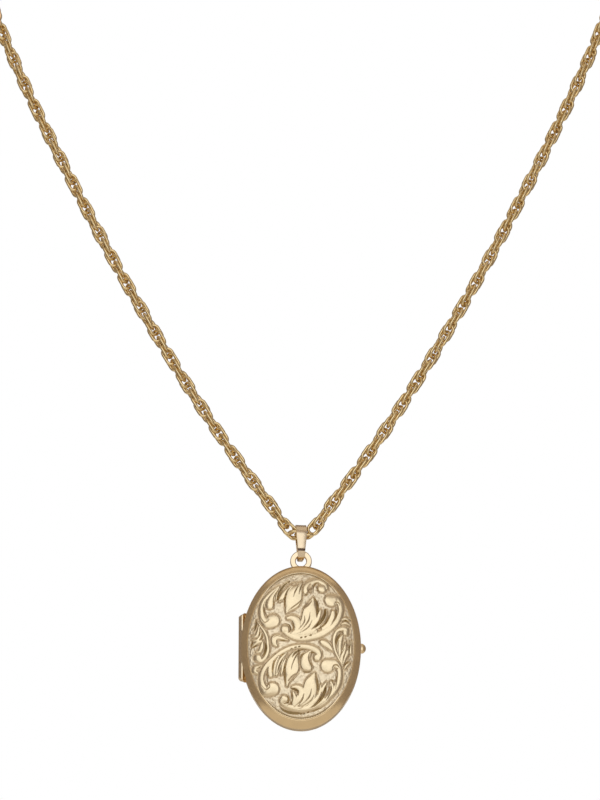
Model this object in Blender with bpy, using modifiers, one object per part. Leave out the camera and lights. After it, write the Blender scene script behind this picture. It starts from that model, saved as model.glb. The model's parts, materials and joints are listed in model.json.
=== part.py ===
"""Oval gold locket on a twisted curb chain, hanging as it is worn.

Metres, +Z up. The front of the locket faces -Y and +X is to its right.
The origin is the top of the necklace, at the clasp, where a neck carries it.
"""

import math

import bmesh
import bpy
from mathutils import Matrix, Vector

# Case
CASE_WIDTH = 0.0220
CASE_HEIGHT = 0.0306
WALL = 0.0004
SIDE_WALL_DEPTH = 0.0008
SHOULDER_DEPTH = 0.0015
SHOULDER_SHARE = 0.128
PLATEAU_STEP = 0.00012
FRONT_CROWN = 0.00045
SEAM_GAP = 0.00006
SEAM_Y = -0.00045
OVAL_SEGMENTS = 48
SHOULDER_STEPS = 4
CROWN_STEPS = 3

# Snap rim inside the back half
RIM_THICKNESS = 0.00025
RIM_DEPTH_IN_BACK = 0.0007
RIM_STAND = 0.0006
RIM_CLEARANCE = 0.00006

# Photograph frames and their clear windows
FRAME_WIDTH = 0.0009
FRAME_THICKNESS = 0.0004
FRAME_CLEARANCE = 0.00008
BACK_FRAME_DEPTH = 0.00025
WINDOW_THICKNESS = 0.00015
WINDOW_CLEARANCE = 0.00005
WINDOW_LAP = 0.0005

# Hinge on the left edge
HINGE_RADIUS = 0.00045
HINGE_STAND = 0.0001
HINGE_TOP = 0.0066
HINGE_BOTTOM = -0.0064
MIDDLE_TOP = 0.0031
MIDDLE_BOTTOM = -0.0027
KNUCKLE_GAP = 0.00008
HINGE_CLEARANCE = 0.00006
PIN_RADIUS = 0.0002
PIN_CLEARANCE = 0.00005
SEAT_GAP = 0.00005

# Thumb piece on the right edge
THUMB_HEIGHT = 0.0019
THUMB_DEPTH = 0.0008
THUMB_STAND = 0.0009
THUMB_Z = -0.0002
THUMB_SETBACK = 0.00008

# Pendant loop on the top edge
LOOP_RADIUS = 0.0020
LOOP_HOLE_RADIUS = 0.00098
LOOP_THICKNESS = 0.0008
LOOP_CHAMFER = 0.00014
LOOP_RISE = 0.0012
LOOP_STEPS = 32

# Bail, a tapered strap folded over the chain and through the loop
BAIL_EYE_RADIUS = 0.0014
BAIL_STRAP = 0.00028
BAIL_TOP_WIDTH = 0.00196
BAIL_FOLD_WIDTH = 0.00128
BAIL_TIP_WIDTH = 0.00096
BAIL_FOLD_HALF_DEPTH = 0.00128
BAIL_FOLD_RISE = 0.00085
BAIL_TIP_RADIUS = 0.0009
BAIL_HANG = 0.00376
BAIL_TURN = math.radians(8)

# Chain, drawn as a strap of links with a steady twist
CHAIN_WIDTH = 0.00245
CHAIN_WAIST = 0.00175
CHAIN_HALF_TURN = 0.0053
CHAIN_STEPS_PER_HALF_TURN = 4
CHAIN_SIDES = 6
CHAIN_MEETING_GAP = 0.0003

# Half of the chain's route: sideways and upwards from the bail's seat
ROUTE = [
    (0.0000, 0.0000), (0.0021, 0.0008), (0.0064, 0.0066), (0.0145, 0.0182), (0.0220, 0.0300),
    (0.0290, 0.0419), (0.0357, 0.0540), (0.0420, 0.0662), (0.0481, 0.0785), (0.0539, 0.0910),
    (0.0591, 0.1037), (0.0626, 0.1155), (0.0634, 0.1280), (0.0608, 0.1410), (0.0546, 0.1525),
    (0.0450, 0.1615), (0.0325, 0.1680), (0.0185, 0.1716), (0.0070, 0.1725),
]

# Clasp, a bolt ring with a soldered eye, and its jump rings
CLASP_RADIUS = 0.0023
CLASP_TUBE_RADIUS = 0.0007
CLASP_BORE_RADIUS = 0.0005
CLASP_GAP_FROM = math.radians(25)
CLASP_GAP_TO = math.radians(75)
CLASP_SOCKET = math.radians(9)
CLASP_SPRING_STOP = math.radians(235)
CLASP_STEP = math.radians(9)
BOLT_CLEARANCE = 0.00008
BOLT_LAP = math.radians(5)
BOLT_TAIL = math.radians(35)
BOLT_TRAVEL = math.radians(50)
NIB_RADIUS = 0.0002
NIB_STAND = 0.0006
NIB_SETBACK = math.radians(20)
NIB_CLEARANCE = 0.00006
EYE_RADIUS = 0.0008
EYE_WIRE_RADIUS = 0.00025
EYE_LAP = 0.0001
JUMP_RADIUS = 0.0015
JUMP_WIRE_RADIUS = 0.0003
JUMP_CLEARANCE = 0.0001
SPRING_WIRE_RADIUS = 0.000075
SPRING_TURNS = 7
SPRING_POINTS = 9
SPRING_CLEARANCE = 0.00008

# Finishes: red, green, blue, roughness and metallic value
GOLD = (0.80, 0.56, 0.24, 0.22, 1.0)
CHAIN_GOLD = (0.78, 0.55, 0.20, 0.28, 1.0)
SPRING_STEEL = (0.55, 0.54, 0.52, 0.30, 1.0)
CLEAR_SHEET = (0.90, 0.92, 0.92, 0.08, 0.0)

# Places that follow from the sizes
HALF_WIDTH = CASE_WIDTH / 2
HALF_HEIGHT = CASE_HEIGHT / 2
NECK_TO_SEAT = ROUTE[-1][1]
SEAT_Z = -NECK_TO_SEAT
LOOP_ARC_RADIUS = (LOOP_RADIUS + LOOP_HOLE_RADIUS) / 2
LOOP_ARC_Z = SEAT_Z - BAIL_HANG
LOOP_Z = LOOP_ARC_Z - LOOP_ARC_RADIUS
CASE_Z = LOOP_Z - LOOP_RISE - HALF_HEIGHT
HINGE_X = -(HALF_WIDTH + HINGE_STAND)
CASE_CENTRE = Vector((0, SEAM_Y, CASE_Z))
HINGE_CENTRE = Vector((HINGE_X, SEAM_Y, CASE_Z))
FACES_FRONT = Matrix.Rotation(math.pi / 2, 4, 'X')
FACES_BACK = Matrix.Rotation(-math.pi / 2, 4, 'X')
JUMP_HOLE = JUMP_RADIUS - JUMP_WIRE_RADIUS
JUMP_OUTER = JUMP_RADIUS + JUMP_WIRE_RADIUS
RIGHT_JUMP_REACH = CLASP_RADIUS - CLASP_TUBE_RADIUS - JUMP_CLEARANCE + JUMP_HOLE
EYE_REACH = CLASP_RADIUS + CLASP_TUBE_RADIUS + EYE_RADIUS - EYE_LAP
LEFT_JUMP_REACH = EYE_REACH + JUMP_RADIUS
CLASP_X = (LEFT_JUMP_REACH - RIGHT_JUMP_REACH) / 2
CLASP_CENTRE = Vector((CLASP_X, 0, 0))
CHAIN_END_X = CLASP_X + RIGHT_JUMP_REACH + JUMP_OUTER + JUMP_CLEARANCE

for old in list(bpy.data.objects):
    bpy.data.objects.remove(old, do_unlink=True)

parts = bpy.data.collections.new("locket")
cutters = bpy.data.collections.new("locket_cutters")
bpy.context.scene.collection.children.link(parts)
bpy.context.scene.collection.children.link(cutters)


def finish(name, look):
    """A Principled material of the piece's own."""
    material = bpy.data.materials.new(name)
    material.use_nodes = True
    shader = material.node_tree.nodes["Principled BSDF"]
    shader.inputs["Base Color"].default_value = (*look[:3], 1.0)
    shader.inputs["Roughness"].default_value = look[3]
    shader.inputs["Metallic"].default_value = look[4]
    return material


def place(name, mesh, matrix=Matrix.Identity(4), look=GOLD):
    """A named piece in the locket's collection."""
    mesh.materials.clear()
    mesh.materials.append(finish(name, look))
    mesh.shade_smooth()
    mesh.set_sharp_from_angle(angle=math.radians(35))
    piece = bpy.data.objects.new(name, mesh)
    piece.matrix_world = matrix
    parts.objects.link(piece)
    return piece


def cutter(name, mesh, matrix=Matrix.Identity(4)):
    """A hidden tool that shapes other pieces."""
    tool = bpy.data.objects.new(name, mesh)
    tool.matrix_world = matrix
    tool.hide_render = True
    tool.display_type = 'WIRE'
    cutters.objects.link(tool)
    return tool


def boolean(piece, tool, operation='DIFFERENCE'):
    modifier = piece.modifiers.new(tool.name, 'BOOLEAN')
    modifier.operation = operation
    modifier.solver = 'EXACT'
    modifier.object = tool
    return modifier


def baked(source):
    """The evaluated mesh of a curve or of an object with modifiers, its caps welded."""
    bpy.context.view_layer.update()
    graph = bpy.context.evaluated_depsgraph_get()
    mesh = bpy.data.meshes.new_from_object(source.evaluated_get(graph))
    shape = bmesh.new()
    shape.from_mesh(mesh)
    bmesh.ops.remove_doubles(shape, verts=shape.verts, dist=1e-7)
    bmesh.ops.recalc_face_normals(shape, faces=shape.faces)
    shape.to_mesh(mesh)
    shape.free()
    bpy.data.objects.remove(source, do_unlink=True)
    return mesh


def turned(profile, steps, closed=False):
    """A profile of (radius, height) points turned about Z."""
    mesh = bpy.data.meshes.new("turned")
    count = len(profile)
    edges = [(i, i + 1) for i in range(count - 1)]
    if closed:
        edges.append((count - 1, 0))
    mesh.from_pydata([(r, 0, h) for r, h in profile], edges, [])
    source = bpy.data.objects.new("turned", mesh)
    bpy.context.scene.collection.objects.link(source)
    screw = source.modifiers.new("turn", 'SCREW')
    screw.steps = steps
    screw.render_steps = steps
    screw.use_merge_vertices = True
    screw.merge_threshold = 1e-7
    return baked(source)


def flat_outline(loops, thickness):
    """Closed outlines in XY, filled between and made as thick as stated."""
    curve = bpy.data.curves.new("outline", 'CURVE')
    curve.dimensions = '2D'
    curve.fill_mode = 'BOTH'
    curve.extrude = thickness / 2
    for loop in loops:
        spline = curve.splines.new('POLY')
        spline.points.add(len(loop) - 1)
        for point, (x, y) in zip(spline.points, loop):
            point.co = (x, y, 0, 1)
        spline.use_cyclic_u = True
    source = bpy.data.objects.new("outline", curve)
    bpy.context.scene.collection.objects.link(source)
    return baked(source)


def tube(points, radius, resolution, cyclic=False):
    """A round wire along the points."""
    curve = bpy.data.curves.new("wire", 'CURVE')
    curve.dimensions = '3D'
    curve.bevel_depth = radius
    curve.bevel_resolution = resolution
    curve.use_fill_caps = True
    spline = curve.splines.new('POLY')
    spline.points.add(len(points) - 1)
    for point, co in zip(spline.points, points):
        point.co = (*co, 1)
    spline.use_cyclic_u = cyclic
    source = bpy.data.objects.new("wire", curve)
    bpy.context.scene.collection.objects.link(source)
    return baked(source)


def cylinder(radius, length, sides=24):
    shape = bmesh.new()
    bmesh.ops.create_cone(shape, cap_ends=True, segments=sides, radius1=radius, radius2=radius, depth=length)
    mesh = bpy.data.meshes.new("cylinder")
    shape.to_mesh(mesh)
    shape.free()
    return mesh


def box(size):
    shape = bmesh.new()
    bmesh.ops.create_cube(shape, size=1)
    bmesh.ops.scale(shape, vec=size, verts=shape.verts)
    mesh = bpy.data.meshes.new("box")
    shape.to_mesh(mesh)
    shape.free()
    return mesh


def oval(inset):
    """The case's outline, drawn in by an even inset."""
    a = HALF_WIDTH - inset
    b = HALF_HEIGHT - inset
    turns = [2 * math.pi * i / OVAL_SEGMENTS for i in range(OVAL_SEGMENTS)]
    return [(a * math.cos(t), b * math.sin(t)) for t in turns]


def at_depth(depth):
    """A place on the case's axis, this far behind the seam (in front if negative), facing front."""
    return Matrix.Translation(CASE_CENTRE + Vector((0, depth, 0))) @ FACES_FRONT


# Covers: a side wall, a rounded shoulder, a fine step and a plateau
def cover_profile(crown):
    plateau = HALF_WIDTH * (1 - SHOULDER_SHARE)
    top = SIDE_WALL_DEPTH + SHOULDER_DEPTH
    profile = []
    for i in range(CROWN_STEPS):
        share = i / CROWN_STEPS
        profile.append((plateau * share, top + crown * (1 - share ** 2)))
    profile.append((plateau, top))
    for i in range(SHOULDER_STEPS, -1, -1):
        turn = math.pi / 2 * i / SHOULDER_STEPS
        radius = HALF_WIDTH * (1 - SHOULDER_SHARE * (1 - math.cos(turn)))
        depth = SIDE_WALL_DEPTH + (SHOULDER_DEPTH - PLATEAU_STEP) * math.sin(turn)
        profile.append((radius, depth))
    profile.append((HALF_WIDTH, SEAM_GAP / 2))
    return profile


def cover(name, crown, facing):
    mesh = turned(cover_profile(crown), OVAL_SEGMENTS)
    mesh.transform(Matrix.Diagonal((1, HALF_HEIGHT / HALF_WIDTH, 1, 1)))
    if mesh.polygons[0].normal.z < 0:
        mesh.flip_normals()
    piece = place(name, mesh, Matrix.Translation(CASE_CENTRE) @ facing)
    shell = piece.modifiers.new("shell", 'SOLIDIFY')
    shell.thickness = WALL
    shell.offset = -1
    shell.use_even_offset = True
    return piece


hinge_length = HINGE_TOP - HINGE_BOTTOM
hinge_middle = (HINGE_TOP + HINGE_BOTTOM) / 2
notch = cutter(
    "hinge_notch",
    cylinder(HINGE_RADIUS + HINGE_CLEARANCE, hinge_length + 2 * KNUCKLE_GAP),
    Matrix.Translation(HINGE_CENTRE + Vector((0, 0, hinge_middle))),
)

back_cover = cover("back_cover", 0.0, FACES_BACK)
boolean(back_cover, notch)

# The lid's pieces hang on an empty that stands on the hinge axis
lid_axis = bpy.data.objects.new("lid_axis", None)
lid_axis.location = HINGE_CENTRE
parts.objects.link(lid_axis)


def on_lid(piece):
    piece.parent = lid_axis
    piece.matrix_parent_inverse = Matrix.Translation(-HINGE_CENTRE)
    return piece


front_cover = on_lid(cover("front_cover", FRONT_CROWN, FACES_FRONT))
boolean(front_cover, notch)

# Snap rim, seated inside the back wall and standing into the lid
rim_inset = WALL + RIM_CLEARANCE
rim_height = RIM_DEPTH_IN_BACK + RIM_STAND
rim_mesh = flat_outline([oval(rim_inset), oval(rim_inset + RIM_THICKNESS)], rim_height)
snap_rim = place("snap_rim", rim_mesh, at_depth((RIM_DEPTH_IN_BACK - RIM_STAND) / 2))
boolean(snap_rim, notch)

# Frames press each clear window towards the floor of its half
frame_inset = rim_inset + RIM_THICKNESS + FRAME_CLEARANCE
window_inset = frame_inset + FRAME_WIDTH - WINDOW_LAP


def framed_window(side, frame_depth, direction):
    """A frame and, behind it, a window. Depths run away from the seam along the direction."""
    outline = [oval(frame_inset), oval(frame_inset + FRAME_WIDTH)]
    middle = frame_depth + FRAME_THICKNESS / 2
    frame = place(side + "_photo_frame", flat_outline(outline, FRAME_THICKNESS), at_depth(direction * middle))
    window_middle = frame_depth + FRAME_THICKNESS + WINDOW_CLEARANCE + WINDOW_THICKNESS / 2
    sheet = flat_outline([oval(window_inset)], WINDOW_THICKNESS)
    window = place(side + "_window", sheet, at_depth(direction * window_middle), CLEAR_SHEET)
    return frame, window


framed_window("back", BACK_FRAME_DEPTH, 1)
for piece in framed_window("front", RIM_STAND + FRAME_CLEARANCE, -1):
    on_lid(piece)

# Hinge: knuckles with a web to the case wall, on one pin
case_block = cutter(
    "case_block",
    flat_outline([oval(-SEAT_GAP)], 4 * SIDE_WALL_DEPTH),
    at_depth(0),
)
pin_bore = cutter(
    "pin_bore",
    cylinder(PIN_RADIUS + PIN_CLEARANCE, 2 * hinge_length, 16),
    Matrix.Translation(HINGE_CENTRE + Vector((0, 0, hinge_middle))),
)


def knuckle(name, bottom, top, side):
    """A barrel between two heights, with its web on the front (-1) or back (1) of the seam."""
    length = top - bottom
    middle = Vector((0, 0, (top + bottom) / 2))
    web_depth = HINGE_RADIUS * 0.95 - SEAM_GAP / 2
    web_width = HALF_WIDTH
    web_offset = Vector((web_width / 2, side * (web_depth + SEAM_GAP) / 2, 0))
    web = cutter(
        name + "_web",
        box((web_width, web_depth, length)),
        Matrix.Translation(HINGE_CENTRE + middle + web_offset),
    )
    boolean(web, case_block)
    piece = place(name, cylinder(HINGE_RADIUS, length), Matrix.Translation(HINGE_CENTRE + middle))
    boolean(piece, web, 'UNION')
    boolean(piece, pin_bore)
    return piece


knuckle("hinge_knuckle_upper", MIDDLE_TOP + KNUCKLE_GAP, HINGE_TOP, 1)
knuckle("hinge_knuckle_lower", HINGE_BOTTOM, MIDDLE_BOTTOM - KNUCKLE_GAP, 1)
on_lid(knuckle("hinge_knuckle_middle", MIDDLE_BOTTOM, MIDDLE_TOP, -1))
place(
    "hinge_pin",
    cylinder(PIN_RADIUS, hinge_length, 16),
    Matrix.Translation(HINGE_CENTRE + Vector((0, 0, hinge_middle))),
)

# Thumb piece: a half bead on the lid's free edge
bead = bmesh.new()
bmesh.ops.create_uvsphere(bead, u_segments=16, v_segments=10, radius=1)
bead_size = (THUMB_STAND, THUMB_DEPTH / 2, THUMB_HEIGHT / 2)
bmesh.ops.scale(bead, vec=bead_size, verts=bead.verts)
bead_mesh = bpy.data.meshes.new("bead")
bead.to_mesh(bead_mesh)
bead.free()
thumb_place = CASE_CENTRE + Vector((HALF_WIDTH, -THUMB_SETBACK - THUMB_DEPTH / 2, THUMB_Z))
thumb_piece = on_lid(place("thumb_piece", bead_mesh, Matrix.Translation(thumb_place)))
boolean(thumb_piece, case_block)

# Pendant loop: a flat chamfered ring whose foot is fitted to the top edge
half = LOOP_THICKNESS / 2
section = [
    (LOOP_HOLE_RADIUS, half - LOOP_CHAMFER), (LOOP_HOLE_RADIUS + LOOP_CHAMFER, half),
    (LOOP_RADIUS - LOOP_CHAMFER, half), (LOOP_RADIUS, half - LOOP_CHAMFER),
    (LOOP_RADIUS, LOOP_CHAMFER - half), (LOOP_RADIUS - LOOP_CHAMFER, -half),
    (LOOP_HOLE_RADIUS + LOOP_CHAMFER, -half), (LOOP_HOLE_RADIUS, LOOP_CHAMFER - half),
]
loop_mesh = turned(section, LOOP_STEPS, closed=True)
pendant_loop = place("pendant_loop", loop_mesh, Matrix.Translation((0, 0, LOOP_Z)) @ FACES_FRONT)
boolean(pendant_loop, case_block)


# Bail: half of the strap's path in (depth, height, width), from the top down to the tip
def bail_path():
    reach = BAIL_EYE_RADIUS + BAIL_STRAP
    tip = BAIL_TIP_RADIUS + BAIL_STRAP
    fold_height = BAIL_FOLD_RISE - BAIL_HANG
    path = []
    for i in range(9):
        turn = math.pi / 2 * i / 8
        path.append((reach * math.sin(turn), reach * math.cos(turn), BAIL_TOP_WIDTH))
    path.append((BAIL_FOLD_HALF_DEPTH + BAIL_STRAP, fold_height, BAIL_FOLD_WIDTH))
    for i in range(7):
        turn = math.radians(15) + math.radians(75) * i / 6
        path.append((tip * math.cos(turn), -BAIL_HANG - tip * math.sin(turn), BAIL_TIP_WIDTH))
    return path


front_half = bail_path()
strap_path = [(-d, h, w) for d, h, w in front_half] + [(d, h, w) for d, h, w in front_half[-2:0:-1]]
strap = bmesh.new()
rails = [[strap.verts.new((s * w / 2, d, h)) for d, h, w in strap_path] for s in (-1, 1)]
count = len(strap_path)
for i in range(count):
    j = (i + 1) % count
    strap.faces.new((rails[0][i], rails[0][j], rails[1][j], rails[1][i]))
bmesh.ops.recalc_face_normals(strap, faces=strap.faces)
strap_mesh = bpy.data.meshes.new("strap")
strap.to_mesh(strap_mesh)
strap.free()
if strap_mesh.polygons[0].normal.z < 0:
    strap_mesh.flip_normals()
bail_place = Matrix.Translation((0, 0, SEAT_Z)) @ Matrix.Rotation(BAIL_TURN, 4, 'Z')
bail = place("bail", strap_mesh, bail_place)
thickness = bail.modifiers.new("strap", 'SOLIDIFY')
thickness.thickness = BAIL_STRAP
thickness.offset = -1
thickness.use_even_offset = True


# Chain: a smooth curve through the route, walked at an even step
def smooth_route(route):
    mirrored = [(-route[1][0], route[1][1])]
    beyond = [(2 * route[-1][0] - route[-2][0], route[-1][1])]
    knots = [Vector(k) for k in mirrored + route + beyond]
    fine = []
    for a, b, c, d in zip(knots, knots[1:], knots[2:], knots[3:]):
        for i in range(16):
            t = i / 16
            fine.append(0.5 * (2 * b + (c - a) * t + (2 * a - 5 * b + 4 * c - d) * t ** 2
                               + (3 * b - a - 3 * c + d) * t ** 3))
    fine.append(Vector(route[-1]))
    return fine


def walked(points, step, skip):
    """Points spaced evenly along a path, the first one skipped this far in."""
    lengths = [0.0]
    for a, b in zip(points, points[1:]):
        lengths.append(lengths[-1] + (b - a).length)
    total = lengths[-1] - skip
    count = round(total / step)
    places = []
    segment = 0
    for i in range(count + 1):
        goal = skip + total * i / count
        while segment < len(points) - 2 and lengths[segment + 1] < goal:
            segment += 1
        share = (goal - lengths[segment]) / (lengths[segment + 1] - lengths[segment])
        places.append(points[segment].lerp(points[segment + 1], share))
    return places, total


half_route = ROUTE[:-1] + [(CHAIN_END_X, ROUTE[-1][1])]
chain_step = CHAIN_HALF_TURN / CHAIN_STEPS_PER_HALF_TURN
stretch, stretch_length = walked(smooth_route(half_route), chain_step, CHAIN_MEETING_GAP / 2)


def chain_stretch(name, side):
    """An oval section swept along the route, turning half round at each bulge."""
    section = bpy.data.curves.new("chain_section", 'CURVE')
    section.dimensions = '2D'
    ring = section.splines.new('POLY')
    ring.points.add(CHAIN_SIDES - 1)
    for i, point in enumerate(ring.points):
        turn = 2 * math.pi * i / CHAIN_SIDES
        point.co = (CHAIN_WIDTH / 2 * math.cos(turn), CHAIN_WAIST / 2 * math.sin(turn), 0, 1)
    ring.use_cyclic_u = True
    section_object = bpy.data.objects.new("chain_section", section)
    curve = bpy.data.curves.new("chain", 'CURVE')
    curve.dimensions = '3D'
    curve.twist_mode = 'Z_UP'
    curve.bevel_mode = 'OBJECT'
    curve.bevel_object = section_object
    curve.use_fill_caps = True
    spline = curve.splines.new('POLY')
    spline.points.add(len(stretch) - 1)
    for i, (point, place_2d) in enumerate(zip(spline.points, stretch)):
        point.co = (side * place_2d.x, 0, SEAT_Z + place_2d.y, 1)
        point.tilt = math.pi * i / CHAIN_STEPS_PER_HALF_TURN
    source = bpy.data.objects.new("chain", curve)
    bpy.context.scene.collection.objects.link(source)
    mesh = baked(source)
    bpy.data.objects.remove(section_object, do_unlink=True)
    return place(name, mesh, look=CHAIN_GOLD)


chain_stretch("chain_left", -1)
chain_stretch("chain_right", 1)
print(f"chain length in each half {stretch_length * 1000:.1f} mm")


# Clasp: angles run from +X towards +Z about the ring's own centre
def ring_arc(start, stop, radius=CLASP_RADIUS):
    count = max(2, round((stop - start) / CLASP_STEP))
    turns = [start + (stop - start) * i / count for i in range(count + 1)]
    return [(radius * math.cos(t), 0, radius * math.sin(t)) for t in turns]


clasp_place = Matrix.Translation(CLASP_CENTRE)
full_turn = 2 * math.pi
clasp_body = place(
    "clasp_body",
    tube(ring_arc(CLASP_GAP_TO, CLASP_GAP_FROM + full_turn), CLASP_TUBE_RADIUS, 3),
    clasp_place,
)
eye_ring = [
    (EYE_RADIUS * math.cos(full_turn * i / 16) - EYE_REACH, 0, EYE_RADIUS * math.sin(full_turn * i / 16))
    for i in range(16)
]
clasp_eye = cutter("clasp_eye", tube(eye_ring, EYE_WIRE_RADIUS, 2, cyclic=True), clasp_place)
bore_start = CLASP_GAP_TO - CLASP_STEP
spring_bore = cutter(
    "spring_bore", tube(ring_arc(bore_start, CLASP_SPRING_STOP), CLASP_BORE_RADIUS, 3), clasp_place
)
socket_bore = cutter(
    "socket_bore",
    tube(ring_arc(CLASP_GAP_FROM - CLASP_SOCKET, CLASP_GAP_FROM + CLASP_STEP), CLASP_BORE_RADIUS, 3),
    clasp_place,
)
nib_turn = CLASP_GAP_TO + NIB_SETBACK
nib_room = (NIB_RADIUS + NIB_CLEARANCE) / CLASP_RADIUS
slot_path = ring_arc(
    nib_turn - nib_room, nib_turn + BOLT_TRAVEL + nib_room, CLASP_RADIUS + CLASP_TUBE_RADIUS
)
nib_slot = cutter("nib_slot", tube(slot_path, NIB_RADIUS + NIB_CLEARANCE, 3), clasp_place)
boolean(clasp_body, clasp_eye, 'UNION')
boolean(clasp_body, spring_bore)
boolean(clasp_body, socket_bore)
boolean(clasp_body, nib_slot)

bolt_radius = CLASP_BORE_RADIUS - BOLT_CLEARANCE
bolt_tail = CLASP_GAP_TO + BOLT_TAIL
clasp_bolt = place(
    "clasp_bolt", tube(ring_arc(CLASP_GAP_FROM - BOLT_LAP, bolt_tail), bolt_radius, 2), clasp_place
)
nib_length = CLASP_TUBE_RADIUS + NIB_STAND
nib_lean = Matrix.Rotation(math.pi / 2 - nib_turn, 4, 'Y')
nib_lift = Matrix.Translation((0, 0, CLASP_RADIUS + nib_length / 2))
nib = cutter("bolt_nib", cylinder(NIB_RADIUS, nib_length, 12), clasp_place @ nib_lean @ nib_lift)
boolean(clasp_bolt, nib, 'UNION')

# Spring: a coil wound along the ring behind the bolt
coil_radius = CLASP_BORE_RADIUS - SPRING_CLEARANCE - SPRING_WIRE_RADIUS
end_room = (SPRING_CLEARANCE + SPRING_WIRE_RADIUS) / CLASP_RADIUS
coil_from = bolt_tail + end_room
coil_to = CLASP_SPRING_STOP - end_room
coil_points = []
for i in range(SPRING_TURNS * SPRING_POINTS + 1):
    share = i / (SPRING_TURNS * SPRING_POINTS)
    along = coil_from + (coil_to - coil_from) * share
    around = full_turn * SPRING_TURNS * share
    reach = CLASP_RADIUS + coil_radius * math.cos(around)
    coil_points.append((reach * math.cos(along), coil_radius * math.sin(around), reach * math.sin(along)))
place("clasp_spring", tube(coil_points, SPRING_WIRE_RADIUS, 1), clasp_place, SPRING_STEEL)
coil = [Vector(p) for p in coil_points]
least = min(
    (coil[i] - coil[j]).length
    for i in range(len(coil))
    for j in range(i + SPRING_POINTS - 2, len(coil))
)
print(f"spring's least gap to itself {(least - 2 * SPRING_WIRE_RADIUS) * 1000:.2f} mm")


# Jump rings lie across the clasp and join it to the chain's ends
def jump_ring(name, x):
    turns = [full_turn * i / 20 for i in range(20)]
    circle = [(JUMP_RADIUS * math.cos(t), JUMP_RADIUS * math.sin(t), 0) for t in turns]
    return place(name, tube(circle, JUMP_WIRE_RADIUS, 2, cyclic=True), Matrix.Translation((x, 0, 0)))


jump_ring("left_jump_ring", CLASP_X - LEFT_JUMP_REACH)
jump_ring("right_jump_ring", CLASP_X + RIGHT_JUMP_REACH)
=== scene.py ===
"""Looks of the oval gold locket: carved lid, linked chain, gold finishes, light and camera."""

import json
import math

import bmesh
import bpy
import numpy as np
from mathutils import Matrix, Vector


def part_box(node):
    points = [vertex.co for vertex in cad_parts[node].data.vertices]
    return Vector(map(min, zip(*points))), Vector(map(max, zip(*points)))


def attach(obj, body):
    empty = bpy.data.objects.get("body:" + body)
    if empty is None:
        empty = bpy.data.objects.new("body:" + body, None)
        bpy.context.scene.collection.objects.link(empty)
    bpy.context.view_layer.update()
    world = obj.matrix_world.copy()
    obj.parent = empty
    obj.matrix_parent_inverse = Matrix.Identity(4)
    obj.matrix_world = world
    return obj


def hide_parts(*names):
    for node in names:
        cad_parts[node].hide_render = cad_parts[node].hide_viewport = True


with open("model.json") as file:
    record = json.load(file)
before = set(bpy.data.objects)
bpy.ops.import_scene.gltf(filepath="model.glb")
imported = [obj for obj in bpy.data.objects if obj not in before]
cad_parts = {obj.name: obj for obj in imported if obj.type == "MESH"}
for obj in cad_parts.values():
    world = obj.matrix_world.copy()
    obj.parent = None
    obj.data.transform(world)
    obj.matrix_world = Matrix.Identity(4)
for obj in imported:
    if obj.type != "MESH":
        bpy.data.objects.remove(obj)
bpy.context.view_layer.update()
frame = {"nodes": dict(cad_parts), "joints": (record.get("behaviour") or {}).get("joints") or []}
nodes = frame["nodes"]

# Case: walls and back notch as in the part, with a fuller dome and a wider notch in front
WALL = 0.0004
SIDE_WALL_DEPTH = 0.0008
SHOULDER_DEPTH = 0.0015
SHOULDER_SHARE = 0.113
TALL_SHOULDER_SHARE = 0.0987
SHOULDER_ROUND = 0.80
DOME_POWER = 5
PLATEAU_DROP = 0.00014
FRONT_NOTCH = 0.00073
BACK_NOTCH = 0.00051
NOTCH_WALL = 0.00012
CARVED_GRID = 401
PLAIN_GRID = 61
SHOULDER_STEPS = 16
OUTER_WALL_STEPS = 9
INNER_WALL_STEPS = 5
INNER_SHOULDER_STEPS = 8
INNER_PLATEAU_SHARES = (0.75, 0.5, 0.25)

# Bail: a thinner strap than the part's, bent and creased as the photograph shows
BAIL_EYE_RADIUS = 0.00151
BAIL_STRAP = 0.00017
BAIL_TOP_WIDTH = 0.00194
BAIL_FOLD_WIDTH = 0.00142
BAIL_LIP_WIDTH = 0.00130
BAIL_TIP_WIDTH = 0.00064
BAIL_CREASE = 0.00012
BAIL_CREASE_WIDTH = 0.00042
BAIL_CREASE_MIDDLE = 0.6
BAIL_LIP_SHARE = 1.2
BAIL_LIP_DEGREES = 40
BAIL_ASIDE = -0.00008
BAIL_EYE_HALF_DEPTH = 0.00197
BAIL_BACK_SHARE = 0.72
BAIL_BACK_SHOULDER_SHARE = 0.80
BAIL_FOLD_HALF_DEPTH = 0.00172
BAIL_TIP_HALF_DEPTH = 0.00166
BAIL_FOLD_RISE = 0.0006
BAIL_TIP_RADIUS = 0.00131
BAIL_HANG = 0.00376
BAIL_TURN = math.radians(7)
BAIL_EASE = 0.00003
BAIL_TOP_DROP = 0.0005
BAIL_EYE_STEPS = 24
BAIL_SIDE_STEPS = 12
BAIL_TIP_STEPS = 12

# Hinge, with fuller barrels than the part's, and snap rim
BARREL_CREST = 0.00042
FLUSH_CREST = 0.00075
BARREL_TRIM = 0.0001
BARREL_FRONT = 0.00056
BARREL_STEPS = 24
BARREL_CREST_STEPS = 7
BARREL_ROWS = 30
PIN_CLEARANCE = 0.00006
PIN_SIDES = 24
PIN_ROWS = 60
FILED_REACH = 0.0006
FILED_SLOPE = 0.8
FILED_LEAN = 0.5
WEB_SLANT = 0.8
WEB_LAP = 0.00015
RIM_GAP = 0.0004
RIM_THICKNESS = 0.00025
RIM_STEPS = 180

# Edges of all pieces
LOOP_EASE = 0.00014
EASE_SEGMENTS = 3
EASE_ANGLE = math.radians(25)
SHARP_ANGLE = math.radians(35)
MERGE_DISTANCE = 1e-6
SOLID_MERGE_DISTANCE = 1e-7

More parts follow.
